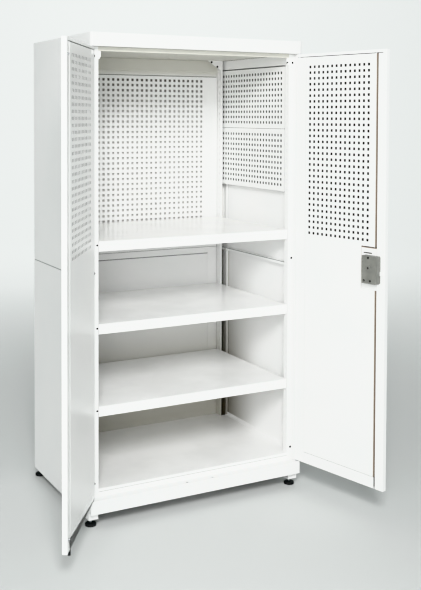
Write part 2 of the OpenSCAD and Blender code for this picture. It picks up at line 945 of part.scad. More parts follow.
module left_door_panel() {
    color(paint)
        left_pose()
        difference() {
            door_panel();
            block(flush_s - 6, panel_s1 + cut, 0, rim_cut, top_bolt_z - guide_h, panel_hi + cut);
            block(flush_s - 6, panel_s1 + cut, 0, rim_cut, panel_lo - cut, low_bolt_z + low_travel + guide_h);
        }
}

module left_hinge_bushes() { color(zinc) left_pose() hinge_bush_pair(); }
module left_hinge_plates() { color(paint) left_pose() hinge_plate_pair(); }

module left_bolt_guides() {
    color(zinc)
        left_pose() {
            rod_guide(flush_s, rod_n, top_bolt_z - 4 * guide_h, guide_h);
            rod_guide(flush_s, rod_n, top_bolt_z + bolt_travel + guide_h, guide_h);
            rod_guide(flush_s, rod_n, low_bolt_z - 3 * guide_h - 1, guide_h);
            rod_guide(flush_s, rod_n, low_bolt_z + low_travel + 2 * guide_h, guide_h);
        }
}

// Arm from a flush bolt to its knob, with the knob at height z
module knob_arm(z) {
    block(flush_s, knob_s + finger_r, arm_n0, arm_n1, z - finger_r, z + finger_r);
    bar_y(knob_s, z, finger_r, arm_n0, knob_n);
}

module top_flush_bolt() {
    color(zinc)
        left_pose()
        union() {
            bar_z(flush_s, rod_n, rod_r, top_bolt_z - 5 * guide_h, door_hi - 2);
            knob_arm(top_bolt_z);
        }
}

module bottom_flush_bolt() {
    color(zinc)
        left_pose()
        union() {
            bar_z(flush_s, rod_n, rod_r, door_lo - bolt_out + tip_h, low_bolt_z + low_travel + 4 * guide_h);
            knob_arm(low_bolt_z);
        }
}

module bottom_bolt_tip() {
    color(black)
        left_pose()
        bar_z(flush_s, rod_n, tip_r, door_lo - bolt_out, door_lo - bolt_out + tip_h);
}

// Right door

module right_door_skin() {
    color(paint)
        right_pose()
        difference() {
            door_skin();
            hinge_holes();
            bar_z(rod_s, rod_n, rod_r + loose_fit, door_lo - cut, door_lo + liner_t + cut);
            bar_z(rod_s, rod_n, rod_r + loose_fit, door_hi - liner_t - cut, door_hi + cut);
            bar_y(spindle_s, spindle_z, 7, -cut, liner_t + cut);
        }
}

module right_door_panel() {
    color(paint)
        right_pose()
        difference() {
            door_panel();
            block(bracket_s0, panel_s1 + cut, 0, door_t + cut, bracket_lo, bracket_hi);
            bar_z(rod_s, rod_n, rod_r + loose_fit, panel_lo - cut, panel_lo + liner_t + cut);
            bar_z(rod_s, rod_n, rod_r + loose_fit, panel_hi - liner_t - cut, panel_hi + cut);
        }
}

module right_hinge_bushes() { color(zinc) right_pose() hinge_bush_pair(); }
module right_hinge_plates() { color(paint) right_pose() hinge_plate_pair(); }

module rod_guides() {
    color(zinc)
        right_pose()
        for (z = [panel_lo + 14, spindle_z - guide_span, spindle_z + guide_span, panel_hi - 22])
            rod_guide(rod_s, rod_n, z, 8);
}

module lock_bracket() {
    s0 = bracket_s0 + loose_fit;
    s1 = channel_s - loose_fit;
    z0 = bracket_lo + loose_fit;
    z1 = bracket_hi - bracket_gap;
    slot_r = cam_r + 5;
    color(paint)
        right_pose()
        difference() {
            union() {
                block(s0, s1, door_in, door_t, z0, z1);
                block(s0, s0 + liner_t, liner_t, door_t, z0, z1);
                block(s1 - liner_t, s1, liner_t, door_t, z0, z1);
                for (z = [z0 + 6, z1 - 6])
                    bar_y(s1 - 4, z, 2.5, door_in, door_t + 1);
            }
            block(spindle_s - slot_r, spindle_s + slot_r, door_in - cut, door_t + cut,
                spindle_z - slot_r, spindle_z - 2);
            block(case_s0 - 14, case_s0 + 31, door_in - cut, door_t + cut, case_hi + 5, case_hi + 10);
        }
}

// Lock case outline: square corners towards the hinge, round ones towards the free edge
module case_outline(inset) {
    r = 7;
    s1 = case_s1 - r;
    union() {
        translate([case_s0 + inset, case_lo + inset]) square([s1 - case_s0 - inset, case_h - 2 * inset]);
        translate([s1 - cut, case_lo + r]) square([r + cut - inset, case_h - 2 * r]);
        for (z = [case_lo + r, case_hi - r])
            translate([s1, z]) circle(r - inset);
    }
}

module lock_case() {
    n1 = door_t + case_d;
    screws = [
        [case_s0 + 33, case_hi - 8], [case_s0 + 12, case_lo + 12],
        [case_s0 + 44, case_lo + 12], [case_s1 - 10, case_hi - 12]
    ];
    color(grey)
        right_pose()
        difference() {
            union() {
                translate([0, n1, 0]) rotate([90, 0, 0]) linear_extrude(case_d) case_outline(0);
                bar_y(spindle_s, spindle_z, 12, n1 - cut, n1 + 1);
                for (p = screws)
                    bar_y(p[0], p[1], screw_r, n1 - cut, n1 + 1.2);
            }
            translate([0, n1 - case_wall, 0]) rotate([90, 0, 0]) linear_extrude(case_d) case_outline(case_wall);
            bar_y(spindle_s, spindle_z, 5, n1 - case_wall - cut, n1 + 1 + cut);
            block(case_s1 - 10, case_s1 + cut, door_t - cut, latch_n1 + loose_fit,
                latch_lo - loose_fit, latch_hi + loose_fit);
        }
}

module handle_plate() {
    color(chrome)
        right_pose()
        difference() {
            union() {
                block(spindle_s - plate_r, spindle_s + plate_r, plate_n, 0,
                    spindle_z - plate_half, spindle_z + plate_half);
                for (side = [-1, 1])
                    bar_y(spindle_s, spindle_z + side * plate_half, plate_r, plate_n, 0);
            }
            bar_y(spindle_s, spindle_z, neck_r + run_fit, plate_n - cut, cut);
        }
}

module turn_handle() {
    color(chrome)
        right_pose()
        difference() {
            union() {
                bar_y(spindle_s, spindle_z, hub_r, hub_n, plate_n - loose_fit);
                bar_y(spindle_s, spindle_z, neck_r, plate_n - loose_fit, 0);
                bar_y(spindle_s, spindle_z, 5, 0, cam_n0);
                block(spindle_s - lever_l, spindle_s, lever_n0, lever_n1,
                    spindle_z - lever_r, spindle_z + lever_r);
                bar_y(spindle_s - lever_l, spindle_z, lever_r, lever_n0, lever_n1);
            }
            bar_y(spindle_s, spindle_z, key_r + run_fit, hub_n - cut, hub_n + key_l);
        }
}

module key_cylinder() {
    color(zinc)
        right_pose()
        difference() {
            bar_y(spindle_s, spindle_z, key_r, hub_n, hub_n + key_l);
            block(spindle_s - 0.8, spindle_s + 0.8, hub_n - cut, hub_n + 6, spindle_z - 4.5, spindle_z + 4.5);
        }
}

// Pin on the cam at an angle from the free edge's direction, from the disc to depth n1
module cam_pin(angle, n1) {
    bar_y(spindle_s + cam_r * cos(angle), spindle_z + cam_r * sin(angle), cam_pin_r, cam_n0, n1);
}

module lock_cam() {
    color(zinc)
        right_pose()
        union() {
            bar_y(spindle_s, spindle_z, cam_r + 4, cam_n0, cam_n1);
            cam_pin(-45, yoke_n1 + 0.5);
            cam_pin(135, yoke_n1 + 0.5);
            cam_pin(225, latch_n1 + 0.5);
        }
}

module upper_rod() {
    pin_z = spindle_z - cam_r * sin(45);
    slot_s0 = spindle_s + cam_r * cos(45) - yoke_slot;
    slot_s1 = spindle_s + cam_r + yoke_slot;
    color(zinc)
        right_pose()
        difference() {
            union() {
                block(rod_s - rod_r, rod_s + 10.5, yoke_n0, yoke_n1, pin_z - 8, pin_z + 32);
                bar_z(rod_s, rod_n, rod_r, pin_z + 24, door_hi - 2);
            }
            block(slot_s0, slot_s1, yoke_n0 - cut, yoke_n1 + cut, pin_z - yoke_slot, pin_z + yoke_slot);
        }
}

module lower_rod() {
    pin_z = spindle_z + cam_r * sin(45);
    arm_s = spindle_s - cam_r - 7.3;
    arm_z = spindle_z - cam_r - 42;
    slot_s0 = spindle_s - cam_r - yoke_slot;
    slot_s1 = spindle_s - cam_r * cos(45) + yoke_slot;
    color(zinc)
        right_pose()
        difference() {
            union() {
                block(arm_s, spindle_s - 3, yoke_n0, yoke_n1, pin_z - 8, pin_z + 8);
                block(arm_s, arm_s + 6, yoke_n0, yoke_n1, arm_z, pin_z + 8);
                block(arm_s, rod_s + rod_r, yoke_n0, yoke_n1, arm_z, arm_z + 15);
                bar_z(rod_s, rod_n, rod_r, door_lo + 2, arm_z + 8);
            }
            block(slot_s0, slot_s1, yoke_n0 - cut, yoke_n1 + cut, pin_z - yoke_slot, pin_z + yoke_slot);
        }
}

module latch_bolt() {
    pin_s = spindle_s - cam_r * cos(45);
    pin_z = spindle_z - cam_r * sin(45);
    color(zinc)
        right_pose()
        difference() {
            union() {
                block(pin_s - 7, door_w - 9, latch_n0, latch_n1, latch_lo, latch_hi);
                block(pin_s - 7, pin_s + 7, latch_n0, latch_n1, latch_lo, pin_z + 9);
            }
            block(pin_s - yoke_slot, pin_s + yoke_slot, latch_n0 - cut, latch_n1 + cut,
                spindle_z - cam_r - yoke_slot, pin_z + yoke_slot);
        }
}

// Feet

// Levelling foot: a threaded stem moulded into a flat pad
module foot(x, y) {
    color(black)
        place()
        translate([x, y, 0])
        union() {
            rotate_extrude($fn = 60)
                polygon([
                    [0, 0], [pad_r - 1, 0], [pad_r, 1], [pad_r, pad_h - 3],
                    [pad_r - 3, pad_h], [boss_r, pad_h], [stem_r, pad_h + 2], [0, pad_h + 2]
                ]);
            cylinder(r = stem_r, h = side_low + body_t + 20);
        }
}

module front_left_foot() { foot(-foot_x, foot_front); }
module front_right_foot() { foot(foot_x, foot_front); }
module rear_left_foot() { foot(-foot_x, foot_rear_y); }
module rear_right_foot() { foot(foot_x, foot_rear_y); }

top_cap();
ceiling_panel();
upper_left_side();
upper_right_side();
lower_left_side();
lower_right_side();
side_joint_strips();
upper_back();
lower_back();
front_left_post();
front_right_post();
rear_left_post();
rear_right_post();
side_top_rails();
rear_top_rail();
back_pegboard();
lower_back_liner();
upper_left_pegboard();
middle_left_pegboard();
upper_right_pegboard();
middle_right_pegboard();
plinth();
floor_panel();
floor_strips();
top_shelf();
middle_shelf();
bottom_shelf();
shelf_clips();
corner_gussets();
rear_gussets();
hinge_pins();
foot_brackets();
foot_locknuts();
frame_screws();
left_door_skin();
left_door_panel();
left_hinge_bushes();
left_hinge_plates();
left_bolt_guides();
top_flush_bolt();
bottom_flush_bolt();
bottom_bolt_tip();
right_door_skin();
right_door_panel();
right_hinge_bushes();
right_hinge_plates();
rod_guides();
lock_bracket();
lock_case();
handle_plate();
turn_handle();
lock_cam();
key_cylinder();
upper_rod();
lower_rod();
latch_bolt();
front_left_foot();
front_right_foot();
rear_left_foot();
rear_right_foot();
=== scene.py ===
"""Two-door steel tool cabinet, dressed round its packed construction model.

Sizes are millimetres where a name ends in _MM or _mm and metres elsewhere. The construction's own parts
stay where they are. Folded sheet parts get copies with rounded folds, and darker finishes on faces in
cavities, gaps and deep corners, partly bare steel and partly painted shade. Feet and screws get fuller
pieces. Each of these stands for the part that it replaces.
"""
import json
import math

import bmesh
import bpy
from mathutils import Matrix, Vector


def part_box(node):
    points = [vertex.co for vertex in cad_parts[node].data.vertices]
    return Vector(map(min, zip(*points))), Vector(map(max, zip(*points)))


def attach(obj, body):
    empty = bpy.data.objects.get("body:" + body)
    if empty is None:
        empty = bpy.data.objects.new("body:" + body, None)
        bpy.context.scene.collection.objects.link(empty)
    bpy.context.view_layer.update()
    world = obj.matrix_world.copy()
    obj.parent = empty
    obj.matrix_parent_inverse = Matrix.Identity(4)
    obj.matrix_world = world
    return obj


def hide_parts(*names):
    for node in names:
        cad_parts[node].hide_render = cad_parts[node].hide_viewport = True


bl_info = {
    "name": "Tool Cabinet",
    "version": (1, 0, 0),
    "blender": (4, 5, 0),
    "location": "View3D > Sidebar > Cabinet",
    "description": "Dresses a two-door steel tool cabinet and its studio",
    "category": "Object",
}

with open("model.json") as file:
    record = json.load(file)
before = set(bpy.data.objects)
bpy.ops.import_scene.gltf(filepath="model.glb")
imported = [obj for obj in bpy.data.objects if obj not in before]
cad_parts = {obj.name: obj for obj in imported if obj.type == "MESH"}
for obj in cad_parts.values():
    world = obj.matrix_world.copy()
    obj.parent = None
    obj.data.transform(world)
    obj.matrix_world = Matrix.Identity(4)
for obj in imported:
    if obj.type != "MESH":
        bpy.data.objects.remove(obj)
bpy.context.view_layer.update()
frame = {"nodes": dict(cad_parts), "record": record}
MM = 0.001

# The photograph's frame in pixels, and the camera solved from it. Camera places are millimetres from the
# middle of the body's front edge on the floor.
PHOTO_W = 421
PHOTO_H = 590
SENSOR_MM = 36.0
FOCAL_PX = 961.9
CENTRE_PX = (197.91, 150.0)
CAMERA_MM = (-1914.8, -3538.1, 1659.0)
CAMERA_YAW = 0.49127
CAMERA_PITCH = -0.035114
CAMERA_ROLL = 0.0031642
CLIP_END = 100.0

# Doors as they stand in the construction: thickness, sheet, and each hinge axis with its opening angle
DOOR_T_MM = 19.0
SHEET_MM = 1.2
PIVOT_IN_MM = 8.0
PIVOT_BACK_MM = 10.0
LEFT_OPEN = math.radians(-123.0)
RIGHT_OPEN = math.radians(102.5)


def body_origin():
    """Middle of the body's front edge on the floor, from the cap's box."""
    low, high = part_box("top_cap")
    return Vector(((low[0] + high[0]) / 2, low[1], 0.0))


ORIGIN = body_origin()
HALF_W = (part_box("top_cap")[1][0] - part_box("top_cap")[0][0]) / 2


def door_frame(side):
    """Matrix from a closed door's place to its open one: x from the hinge edge, y from the outer face."""
    pivot = ORIGIN + Vector((side * (HALF_W - PIVOT_IN_MM * MM), PIVOT_BACK_MM * MM, 0.0))
    turn = Matrix.Rotation(RIGHT_OPEN if side > 0 else LEFT_OPEN, 4, "Z")
    mirror = Matrix.Scale(-side, 4, (1, 0, 0))
    return (Matrix.Translation(pivot) @ turn @ mirror
            @ Matrix.Translation((-PIVOT_IN_MM * MM, -PIVOT_BACK_MM * MM, 0.0)))


LEFT_DOOR = door_frame(-1)
RIGHT_DOOR = door_frame(1)
BODY = Matrix.Translation(ORIGIN)


# Colours and nodes

# Sockets of a Mix node that mixes colours: its names repeat, so they are reached by number
MIX_FACTOR = 0
MIX_A = 6
MIX_B = 7
MIX_COLOUR = 2


def srgb(code):
    """sRGB hex text to a linear RGBA colour."""
    code = code.lstrip("#")
    channels = [int(code[i:i + 2], 16) / 255 for i in (0, 2, 4)]
    linear = [c / 12.92 if c <= 0.04045 else ((c + 0.055) / 1.055) ** 2.4 for c in channels]
    return (*linear, 1.0)


def add_node(tree, kind, settings=None, inputs=None, links=None):
    """Add a node, set its properties and sockets, and link other sockets into it."""
    node = tree.nodes.new(kind)
    for name, value in (settings or {}).items():
        setattr(node, name, value)
    for name, value in (inputs or {}).items():
        node.inputs[name].default_value = value
    for name, socket in (links or {}).items():
        tree.links.new(socket, node.inputs[name])
    return node


def new_material(name):
    """An empty node material, with the place on the object that its patterns follow."""
    material = bpy.data.materials.new(name)
    material.use_nodes = True
    tree = material.node_tree
    tree.nodes.clear()
    place = tree.nodes.new("ShaderNodeTexCoord").outputs["Object"]
    return material, tree, place


def close_material(tree, shader):
    """Link the finished shader to the material's surface."""
    output = tree.nodes.new("ShaderNodeOutputMaterial")
    tree.links.new(shader.outputs["BSDF"], output.inputs["Surface"])


# Values that most of a noise pattern lies between
NOISE_LOW = 0.3
NOISE_HIGH = 0.7


def per_metre(size_mm):
    """Noise scale, in cycles per metre, for a feature of the given size."""
    return 1000.0 / size_mm


CLOUD_MM = 320.0
PEEL_MM = 2.2
PEEL_DEPTH_MM = 0.012
COAT_IOR = 1.5
SMOOTHER = 0.03
ROUGHER = 0.04


def powder_coat(name, base_hex, shade_hex, roughness, painted_shade_hex=None, painted_shade_heights_mm=(0.0, 1.0), painted_shade_depths_mm=None):
    """Polyester powder coat baked on steel sheet: an even white skin over a faint orange peel.

    The eye sees a soft sheen that breaks up slightly, and a white that clouds a little from place to place.
    The peel's waves are near the real ones. The clouds are wider than a hand. Where a painted-shade colour
    is given, the white is mixed towards it as painted shade for deep corners: more and more from the first
    height to the second, and from the first depth to the second where depths are given.
    """
    material, tree, place = new_material(name)
    cloud = add_node(tree, "ShaderNodeTexNoise", None,
                     {"Scale": per_metre(CLOUD_MM), "Detail": 3.0, "Roughness": 0.55}, {"Vector": place})
    peel = add_node(tree, "ShaderNodeTexNoise", None,
                    {"Scale": per_metre(PEEL_MM), "Detail": 2.0, "Roughness": 0.6}, {"Vector": place})
    tint = add_node(tree, "ShaderNodeMapRange", {"interpolation_type": "SMOOTHSTEP"},
                    {"From Min": 0.3, "From Max": 0.62}, {"Value": cloud.outputs["Fac"]})
    colour = add_node(tree, "ShaderNodeMix", {"data_type": "RGBA"},
                      {MIX_A: srgb(shade_hex), MIX_B: srgb(base_hex)}, {MIX_FACTOR: tint.outputs["Result"]})
    # Painted shade: mix towards the shade colour by height, and also by depth where depths are given.
    if painted_shade_hex:
        split = add_node(tree, "ShaderNodeSeparateXYZ", None, None, {"Vector": place})
        depth = add_node(tree, "ShaderNodeMapRange", {"interpolation_type": "SMOOTHSTEP"},
                         {"From Min": painted_shade_heights_mm[0] * MM, "From Max": painted_shade_heights_mm[1] * MM},
                         {"Value": split.outputs["Z"]})
        painted_shade_amount = depth.outputs["Result"]
        if painted_shade_depths_mm:
            rear = add_node(tree, "ShaderNodeMapRange", {"interpolation_type": "SMOOTHSTEP"},
                            {"From Min": painted_shade_depths_mm[0] * MM, "From Max": painted_shade_depths_mm[1] * MM},
                            {"Value": split.outputs["Y"]})
            painted_shade_amount = add_node(tree, "ShaderNodeMath", {"operation": "MULTIPLY"}, None,
                              {0: painted_shade_amount, 1: rear.outputs["Result"]}).outputs["Value"]
        colour = add_node(tree, "ShaderNodeMix", {"data_type": "RGBA"}, {MIX_B: srgb(painted_shade_hex)},
                          {MIX_FACTOR: painted_shade_amount, MIX_A: colour.outputs[MIX_COLOUR]})
    rough = add_node(tree, "ShaderNodeMapRange", None,
                     {"From Min": NOISE_LOW, "From Max": NOISE_HIGH, "To Min": roughness - SMOOTHER,
                      "To Max": roughness + ROUGHER},
                     {"Value": cloud.outputs["Fac"]})
    bump = add_node(tree, "ShaderNodeBump", None, {"Strength": 0.35, "Distance": PEEL_DEPTH_MM * MM},
                    {"Height": peel.outputs["Fac"]})
    skin = add_node(tree, "ShaderNodeBsdfPrincipled", None, {"IOR": COAT_IOR},
                    {"Base Color": colour.outputs[MIX_COLOUR], "Roughness": rough.outputs["Result"],
                     "Normal": bump.outputs["Normal"]})
    close_material(tree, skin)
    return material


MOTTLE_MM = 18.0
MOTTLE_DEPTH_MM = 0.02


def bare_steel(name, light_hex, dark_hex, unshaded_hex=None, grade_heights_mm=(0.0, 1.0)):
    """Cold-rolled steel, phosphated and left bare where powder hardly reaches inside a closed cavity, and
    darker as painted shade.

    The eye sees only a dull mottled grey-brown through holes and slots. The mottle is about a finger wide.
    Where an unshaded colour and heights are given, painted shade grades from that colour at the first height
    to the dark mottle at the second.
    """
    material, tree, place = new_material(name)
    mottle = add_node(tree, "ShaderNodeTexNoise", None,
                      {"Scale": per_metre(MOTTLE_MM), "Detail": 5.0, "Roughness": 0.6}, {"Vector": place})
    colour = add_node(tree, "ShaderNodeMix", {"data_type": "RGBA"},
                      {MIX_A: srgb(dark_hex), MIX_B: srgb(light_hex)}, {MIX_FACTOR: mottle.outputs["Fac"]})
    if unshaded_hex:
        split = add_node(tree, "ShaderNodeSeparateXYZ", None, None, {"Vector": place})
        height = add_node(tree, "ShaderNodeMapRange", None,
                          {"From Min": grade_heights_mm[0] * MM, "From Max": grade_heights_mm[1] * MM},
                          {"Value": split.outputs["Z"]})
        colour = add_node(tree, "ShaderNodeMix", {"data_type": "RGBA"}, {MIX_A: srgb(unshaded_hex)},
                          {MIX_FACTOR: height.outputs["Result"], MIX_B: colour.outputs[MIX_COLOUR]})
    bump = add_node(tree, "ShaderNodeBump", None, {"Strength": 0.3, "Distance": MOTTLE_DEPTH_MM * MM},
                    {"Height": mottle.outputs["Fac"]})
    skin = add_node(tree, "ShaderNodeBsdfPrincipled", None, {"Roughness": 0.75, "Metallic": 0.3},
                    {"Base Color": colour.outputs[MIX_COLOUR], "Normal": bump.outputs["Normal"]})
    close_material(tree, skin)
    return material


METAL_SMOOTHER = 0.05
METAL_ROUGHER = 0.08


def worked_metal(name, light_hex, dark_hex, roughness, grain_mm, stretch=(1.0, 1.0, 1.0),
                 depth_mm=0.01):
    """Plated, drawn or blackened metal: fine streaks or crystals that lie the way it was worked.

    The eye sees a narrow highlight that the streaks smear a little.
    """
    material, tree, place = new_material(name)
    aligned = add_node(tree, "ShaderNodeMapping", None, {"Scale": stretch}, {"Vector": place})
    grain = add_node(tree, "ShaderNodeTexNoise", None,
                     {"Scale": per_metre(grain_mm), "Detail": 4.0, "Roughness": 0.6},
                     {"Vector": aligned.outputs["Vector"]})
    tint = add_node(tree, "ShaderNodeMapRange", None, {"From Min": 0.35, "From Max": 0.65},
                    {"Value": grain.outputs["Fac"]})
    colour = add_node(tree, "ShaderNodeMix", {"data_type": "RGBA"},
                      {MIX_A: srgb(dark_hex), MIX_B: srgb(light_hex)}, {MIX_FACTOR: tint.outputs["Result"]})
    rough = add_node(tree, "ShaderNodeMapRange", None,
                     {"From Min": NOISE_LOW, "From Max": NOISE_HIGH,
                      "To Min": roughness - METAL_SMOOTHER, "To Max": roughness + METAL_ROUGHER},
                     {"Value": grain.outputs["Fac"]})
    bump = add_node(tree, "ShaderNodeBump", None, {"Strength": 0.3, "Distance": depth_mm * MM},
                    {"Height": grain.outputs["Fac"]})
    metal = add_node(tree, "ShaderNodeBsdfPrincipled", None, {"Metallic": 1.0},
                     {"Base Color": colour.outputs[MIX_COLOUR], "Roughness": rough.outputs["Result"],
                      "Normal": bump.outputs["Normal"]})
    close_material(tree, metal)
    return material


POLYMER_DEPTH_MM = 0.05


def moulded_polymer(name, base_hex, worn_hex, roughness, grain_mm, ior):
    """Moulded nylon or rubber: the eye sees a fine matt grain, scuffed a little paler on its high spots."""
    material, tree, place = new_material(name)
    grain = add_node(tree, "ShaderNodeTexNoise", None,
                     {"Scale": per_metre(grain_mm), "Detail": 3.0, "Roughness": 0.65}, {"Vector": place})
    worn = add_node(tree, "ShaderNodeMapRange", None, {"From Min": 0.45, "From Max": 0.8},
                    {"Value": grain.outputs["Fac"]})
    colour = add_node(tree, "ShaderNodeMix", {"data_type": "RGBA"},
                      {MIX_A: srgb(base_hex), MIX_B: srgb(worn_hex)}, {MIX_FACTOR: worn.outputs["Result"]})
    bump = add_node(tree, "ShaderNodeBump", None, {"Strength": 0.4, "Distance": POLYMER_DEPTH_MM * MM},
                    {"Height": grain.outputs["Fac"]})
    skin = add_node(tree, "ShaderNodeBsdfPrincipled", None, {"IOR": ior, "Roughness": roughness},
                    {"Base Color": colour.outputs[MIX_COLOUR], "Normal": bump.outputs["Normal"]})
    close_material(tree, skin)
    return material


PIT_MM = 3.0
PIT_DEPTH_MM = 0.04
ENAMEL_CLOUD_MM = 40.0
ENAMEL_ROUGHNESS = 0.38


def enamelled_casting(name, base_hex, shade_hex):
    """Zinc die casting sprayed with grey enamel: the eye sees a softly pitted skin with a half gloss."""
    material, tree, place = new_material(name)
    pits = add_node(tree, "ShaderNodeTexNoise", None,
                    {"Scale": per_metre(PIT_MM), "Detail": 3.0, "Roughness": 0.6}, {"Vector": place})
    cloud = add_node(tree, "ShaderNodeTexNoise", None,
                     {"Scale": per_metre(ENAMEL_CLOUD_MM), "Detail": 2.0}, {"Vector": place})
    tint = add_node(tree, "ShaderNodeMapRange", None, {"From Min": NOISE_LOW, "From Max": NOISE_HIGH},
                    {"Value": cloud.outputs["Fac"]})
    colour = add_node(tree, "ShaderNodeMix", {"data_type": "RGBA"},
                      {MIX_A: srgb(shade_hex), MIX_B: srgb(base_hex)}, {MIX_FACTOR: tint.outputs["Result"]})
    bump = add_node(tree, "ShaderNodeBump", None, {"Strength": 0.5, "Distance": PIT_DEPTH_MM * MM},
                    {"Height": pits.outputs["Fac"]})
    skin = add_node(tree, "ShaderNodeBsdfPrincipled", None, {"IOR": COAT_IOR, "Roughness": ENAMEL_ROUGHNESS},
                    {"Base Color": colour.outputs[MIX_COLOUR], "Normal": bump.outputs["Normal"]})
    close_material(tree, skin)
    return material


# Settings a user would change

class CabinetFinish(bpy.types.PropertyGroup):
    """Colours, sheens and folds of the cabinet"""
    coat: bpy.props.StringProperty(
        name="Coat", description="sRGB colour of the powder coat", default="#F1F1F0")
    coat_shade: bpy.props.StringProperty(
        name="Coat shade", description="sRGB colour of the coat's faint clouds", default="#EEEFEE")
    gloss_coat: bpy.props.StringProperty(
        name="Gloss coat", description="sRGB colour of the shelves' glossier coat", default="#FAFAF9")
    # Painted shade: these three colours darken the coat under the cap, at the back of the lowest bay, and in
    # the sides' low rear corners.
    cap_shade_colour: bpy.props.StringProperty(
        name="Cap shade", description="sRGB colour of the coat in deep corners", default="#CFCEC6")
    bay_shade_colour: bpy.props.StringProperty(
        name="Bay shade", description="sRGB colour of the coat at the back of the lowest bay",
        default="#BDBBB2")
    corner_shade_colour: bpy.props.StringProperty(
        name="Corner shade", description="sRGB colour of the coat in the sides' low rear corners",
        default="#8F8B82")
    case: bpy.props.StringProperty(
        name="Lock case", description="sRGB colour of the lock case", default="#7E7F7A")
    coat_roughness: bpy.props.FloatProperty(
        name="Coat roughness", description="Roughness of the powder coat", default=0.36, min=0.1,
        max=0.9, subtype="FACTOR")
    shelf_roughness: bpy.props.FloatProperty(
        name="Shelf roughness", description="Roughness of the glossier shelves and floor", default=0.2,
        min=0.1, max=0.9, subtype="FACTOR")
    fold_radius: bpy.props.FloatProperty(
        name="Fold radius", description="Outer radius of the folds in the sheet", default=2.0 * MM,
        min=0.5 * MM, max=4.0 * MM, unit="LENGTH", subtype="DISTANCE")


class CabinetStudio(bpy.types.PropertyGroup):
    """Backdrop and lights"""
    paper: bpy.props.StringProperty(
        name="Paper", description="sRGB colour of the backdrop", default="#D2D4D3")
    sky: bpy.props.StringProperty(
        name="Sky", description="sRGB colour of the soft light", default="#F2FAF8")
    sky_strength: bpy.props.FloatProperty(
        name="Sky strength", description="Strength of the soft light all round", default=0.32, min=0.0,
        subtype="FACTOR")
    key_power: bpy.props.FloatProperty(
        name="Key light", description="Power of the large front light", default=310.0, min=0.0,
        unit="POWER")
    wall_power: bpy.props.FloatProperty(
        name="Wall light", description="Power of the light on the backdrop", default=900.0, min=0.0,
        unit="POWER")
    fill_power: bpy.props.FloatProperty(
        name="Fill light", description="Power of the low front light", default=138.0, min=0.0,
        unit="POWER")


MATERIALS = {}

# Heights between which painted shade on the upper back sheet, behind the back pegboard, fades out downwards
BACK_SHADE_MM = (1690.0, 1860.0)
# Heights between which painted shade in the pockets beside the rear posts deepens downwards
POCKET_MM = (900.0, 330.0)
# Heights between which painted shade darkens the coat under the cap, and down into the lowest bay
CAP_SHADE_MM = (1840.0, 1880.0)
BAY_SHADE_MM = (760.0, 330.0)
# Heights and depths between which painted shade darkens the lower sides towards their low rear corner
CORNER_SHADE_HEIGHT_MM = (1100.0, 250.0)
CORNER_SHADE_DEPTH_MM = (330.0, 700.0)
# Streaks of drawing lie along the upright rods and bolts
ALONG_ROD = (1.0, 1.0, 0.05)


def make_materials():
    """All the finishes, named for what they are."""
    finish = bpy.context.scene.cabinet_finish
    MATERIALS["coat"] = powder_coat("powder_coated_steel", finish.coat, finish.coat_shade,
                                    finish.coat_roughness)
    MATERIALS["gloss"] = powder_coat("powder_coated_gloss_steel", finish.gloss_coat, finish.coat,
                                     finish.shelf_roughness)
    # Painted shade: the next three finishes darken the coat under the cap, low in the bays and in the sides'
    # low rear corners.
    MATERIALS["thin_top"] = powder_coat("coated_steel_with_painted_cap_shade", finish.coat, finish.coat_shade,
                                        finish.coat_roughness, finish.cap_shade_colour, CAP_SHADE_MM)
    MATERIALS["thin_low"] = powder_coat("coated_steel_with_painted_bay_shade", finish.coat, finish.coat_shade,
                                        finish.coat_roughness, finish.bay_shade_colour, BAY_SHADE_MM)
    front_mm = ORIGIN.y / MM
    MATERIALS["corner_shaded"] = powder_coat("coated_steel_with_painted_corner_shade", finish.coat, finish.coat_shade,
                                         finish.coat_roughness, finish.corner_shade_colour, CORNER_SHADE_HEIGHT_MM,
                                         [front_mm + depth for depth in CORNER_SHADE_DEPTH_MM])
    # Painted shade: the cavity finishes are dark grey partly as bare steel and partly as painted shade for
    # what is seen through holes, slots and gaps; behind the back pegboard it darkens towards the top, and
    # beside the rear posts lower down.
    MATERIALS["bare"] = bare_steel("bare_cavity_steel_with_painted_shade", "#4A4742", "#302D2A")
    MATERIALS["graded_shade"] = bare_steel("cavity_steel_with_graded_painted_shade", "#7C7871", "#645F59", "#DDDCD8",
                                     BACK_SHADE_MM)
    MATERIALS["pocket"] = bare_steel("pocket_steel_with_painted_shade", "#7A766E", "#65615A", "#BDBBB5",
                                     POCKET_MM)
    # Painted shadow: brown-grey lines along the right door's channel and lock bracket, and the dark inner
    # faces of the door panels.
    MATERIALS["edge"] = bare_steel("edge_steel_with_painted_shadow", "#A39588", "#8A7D70")
    MATERIALS["groove"] = bare_steel("grey_joint_strip_steel", "#9A9D9B", "#858987")
    MATERIALS["case"] = enamelled_casting("enamelled_zinc_casting", finish.case, "#6C6D69")
    MATERIALS["zinc"] = worked_metal("zinc_plated_steel", "#C9CCCE", "#9EA3A6", 0.34, 1.5)
    MATERIALS["drawn"] = worked_metal("drawn_steel_rod", "#C4C7C9", "#9A9EA1", 0.3, 0.8,
                                      ALONG_ROD)
    MATERIALS["black"] = worked_metal("blackened_screw_steel", "#2A2928", "#191818", 0.5, 1.0)
    MATERIALS["chrome"] = worked_metal("chromed_zinc_casting", "#DADDDF", "#C5C9CC", 0.1, 6.0,
                                       depth_mm=0.002)
    MATERIALS["nylon"] = moulded_polymer("moulded_black_nylon", "#131415", "#26282A", 0.5, 1.2, 1.53)
    MATERIALS["rubber"] = moulded_polymer("moulded_black_rubber", "#101112", "#2A2B2C", 0.62, 1.8, 1.52)


# Mesh helpers

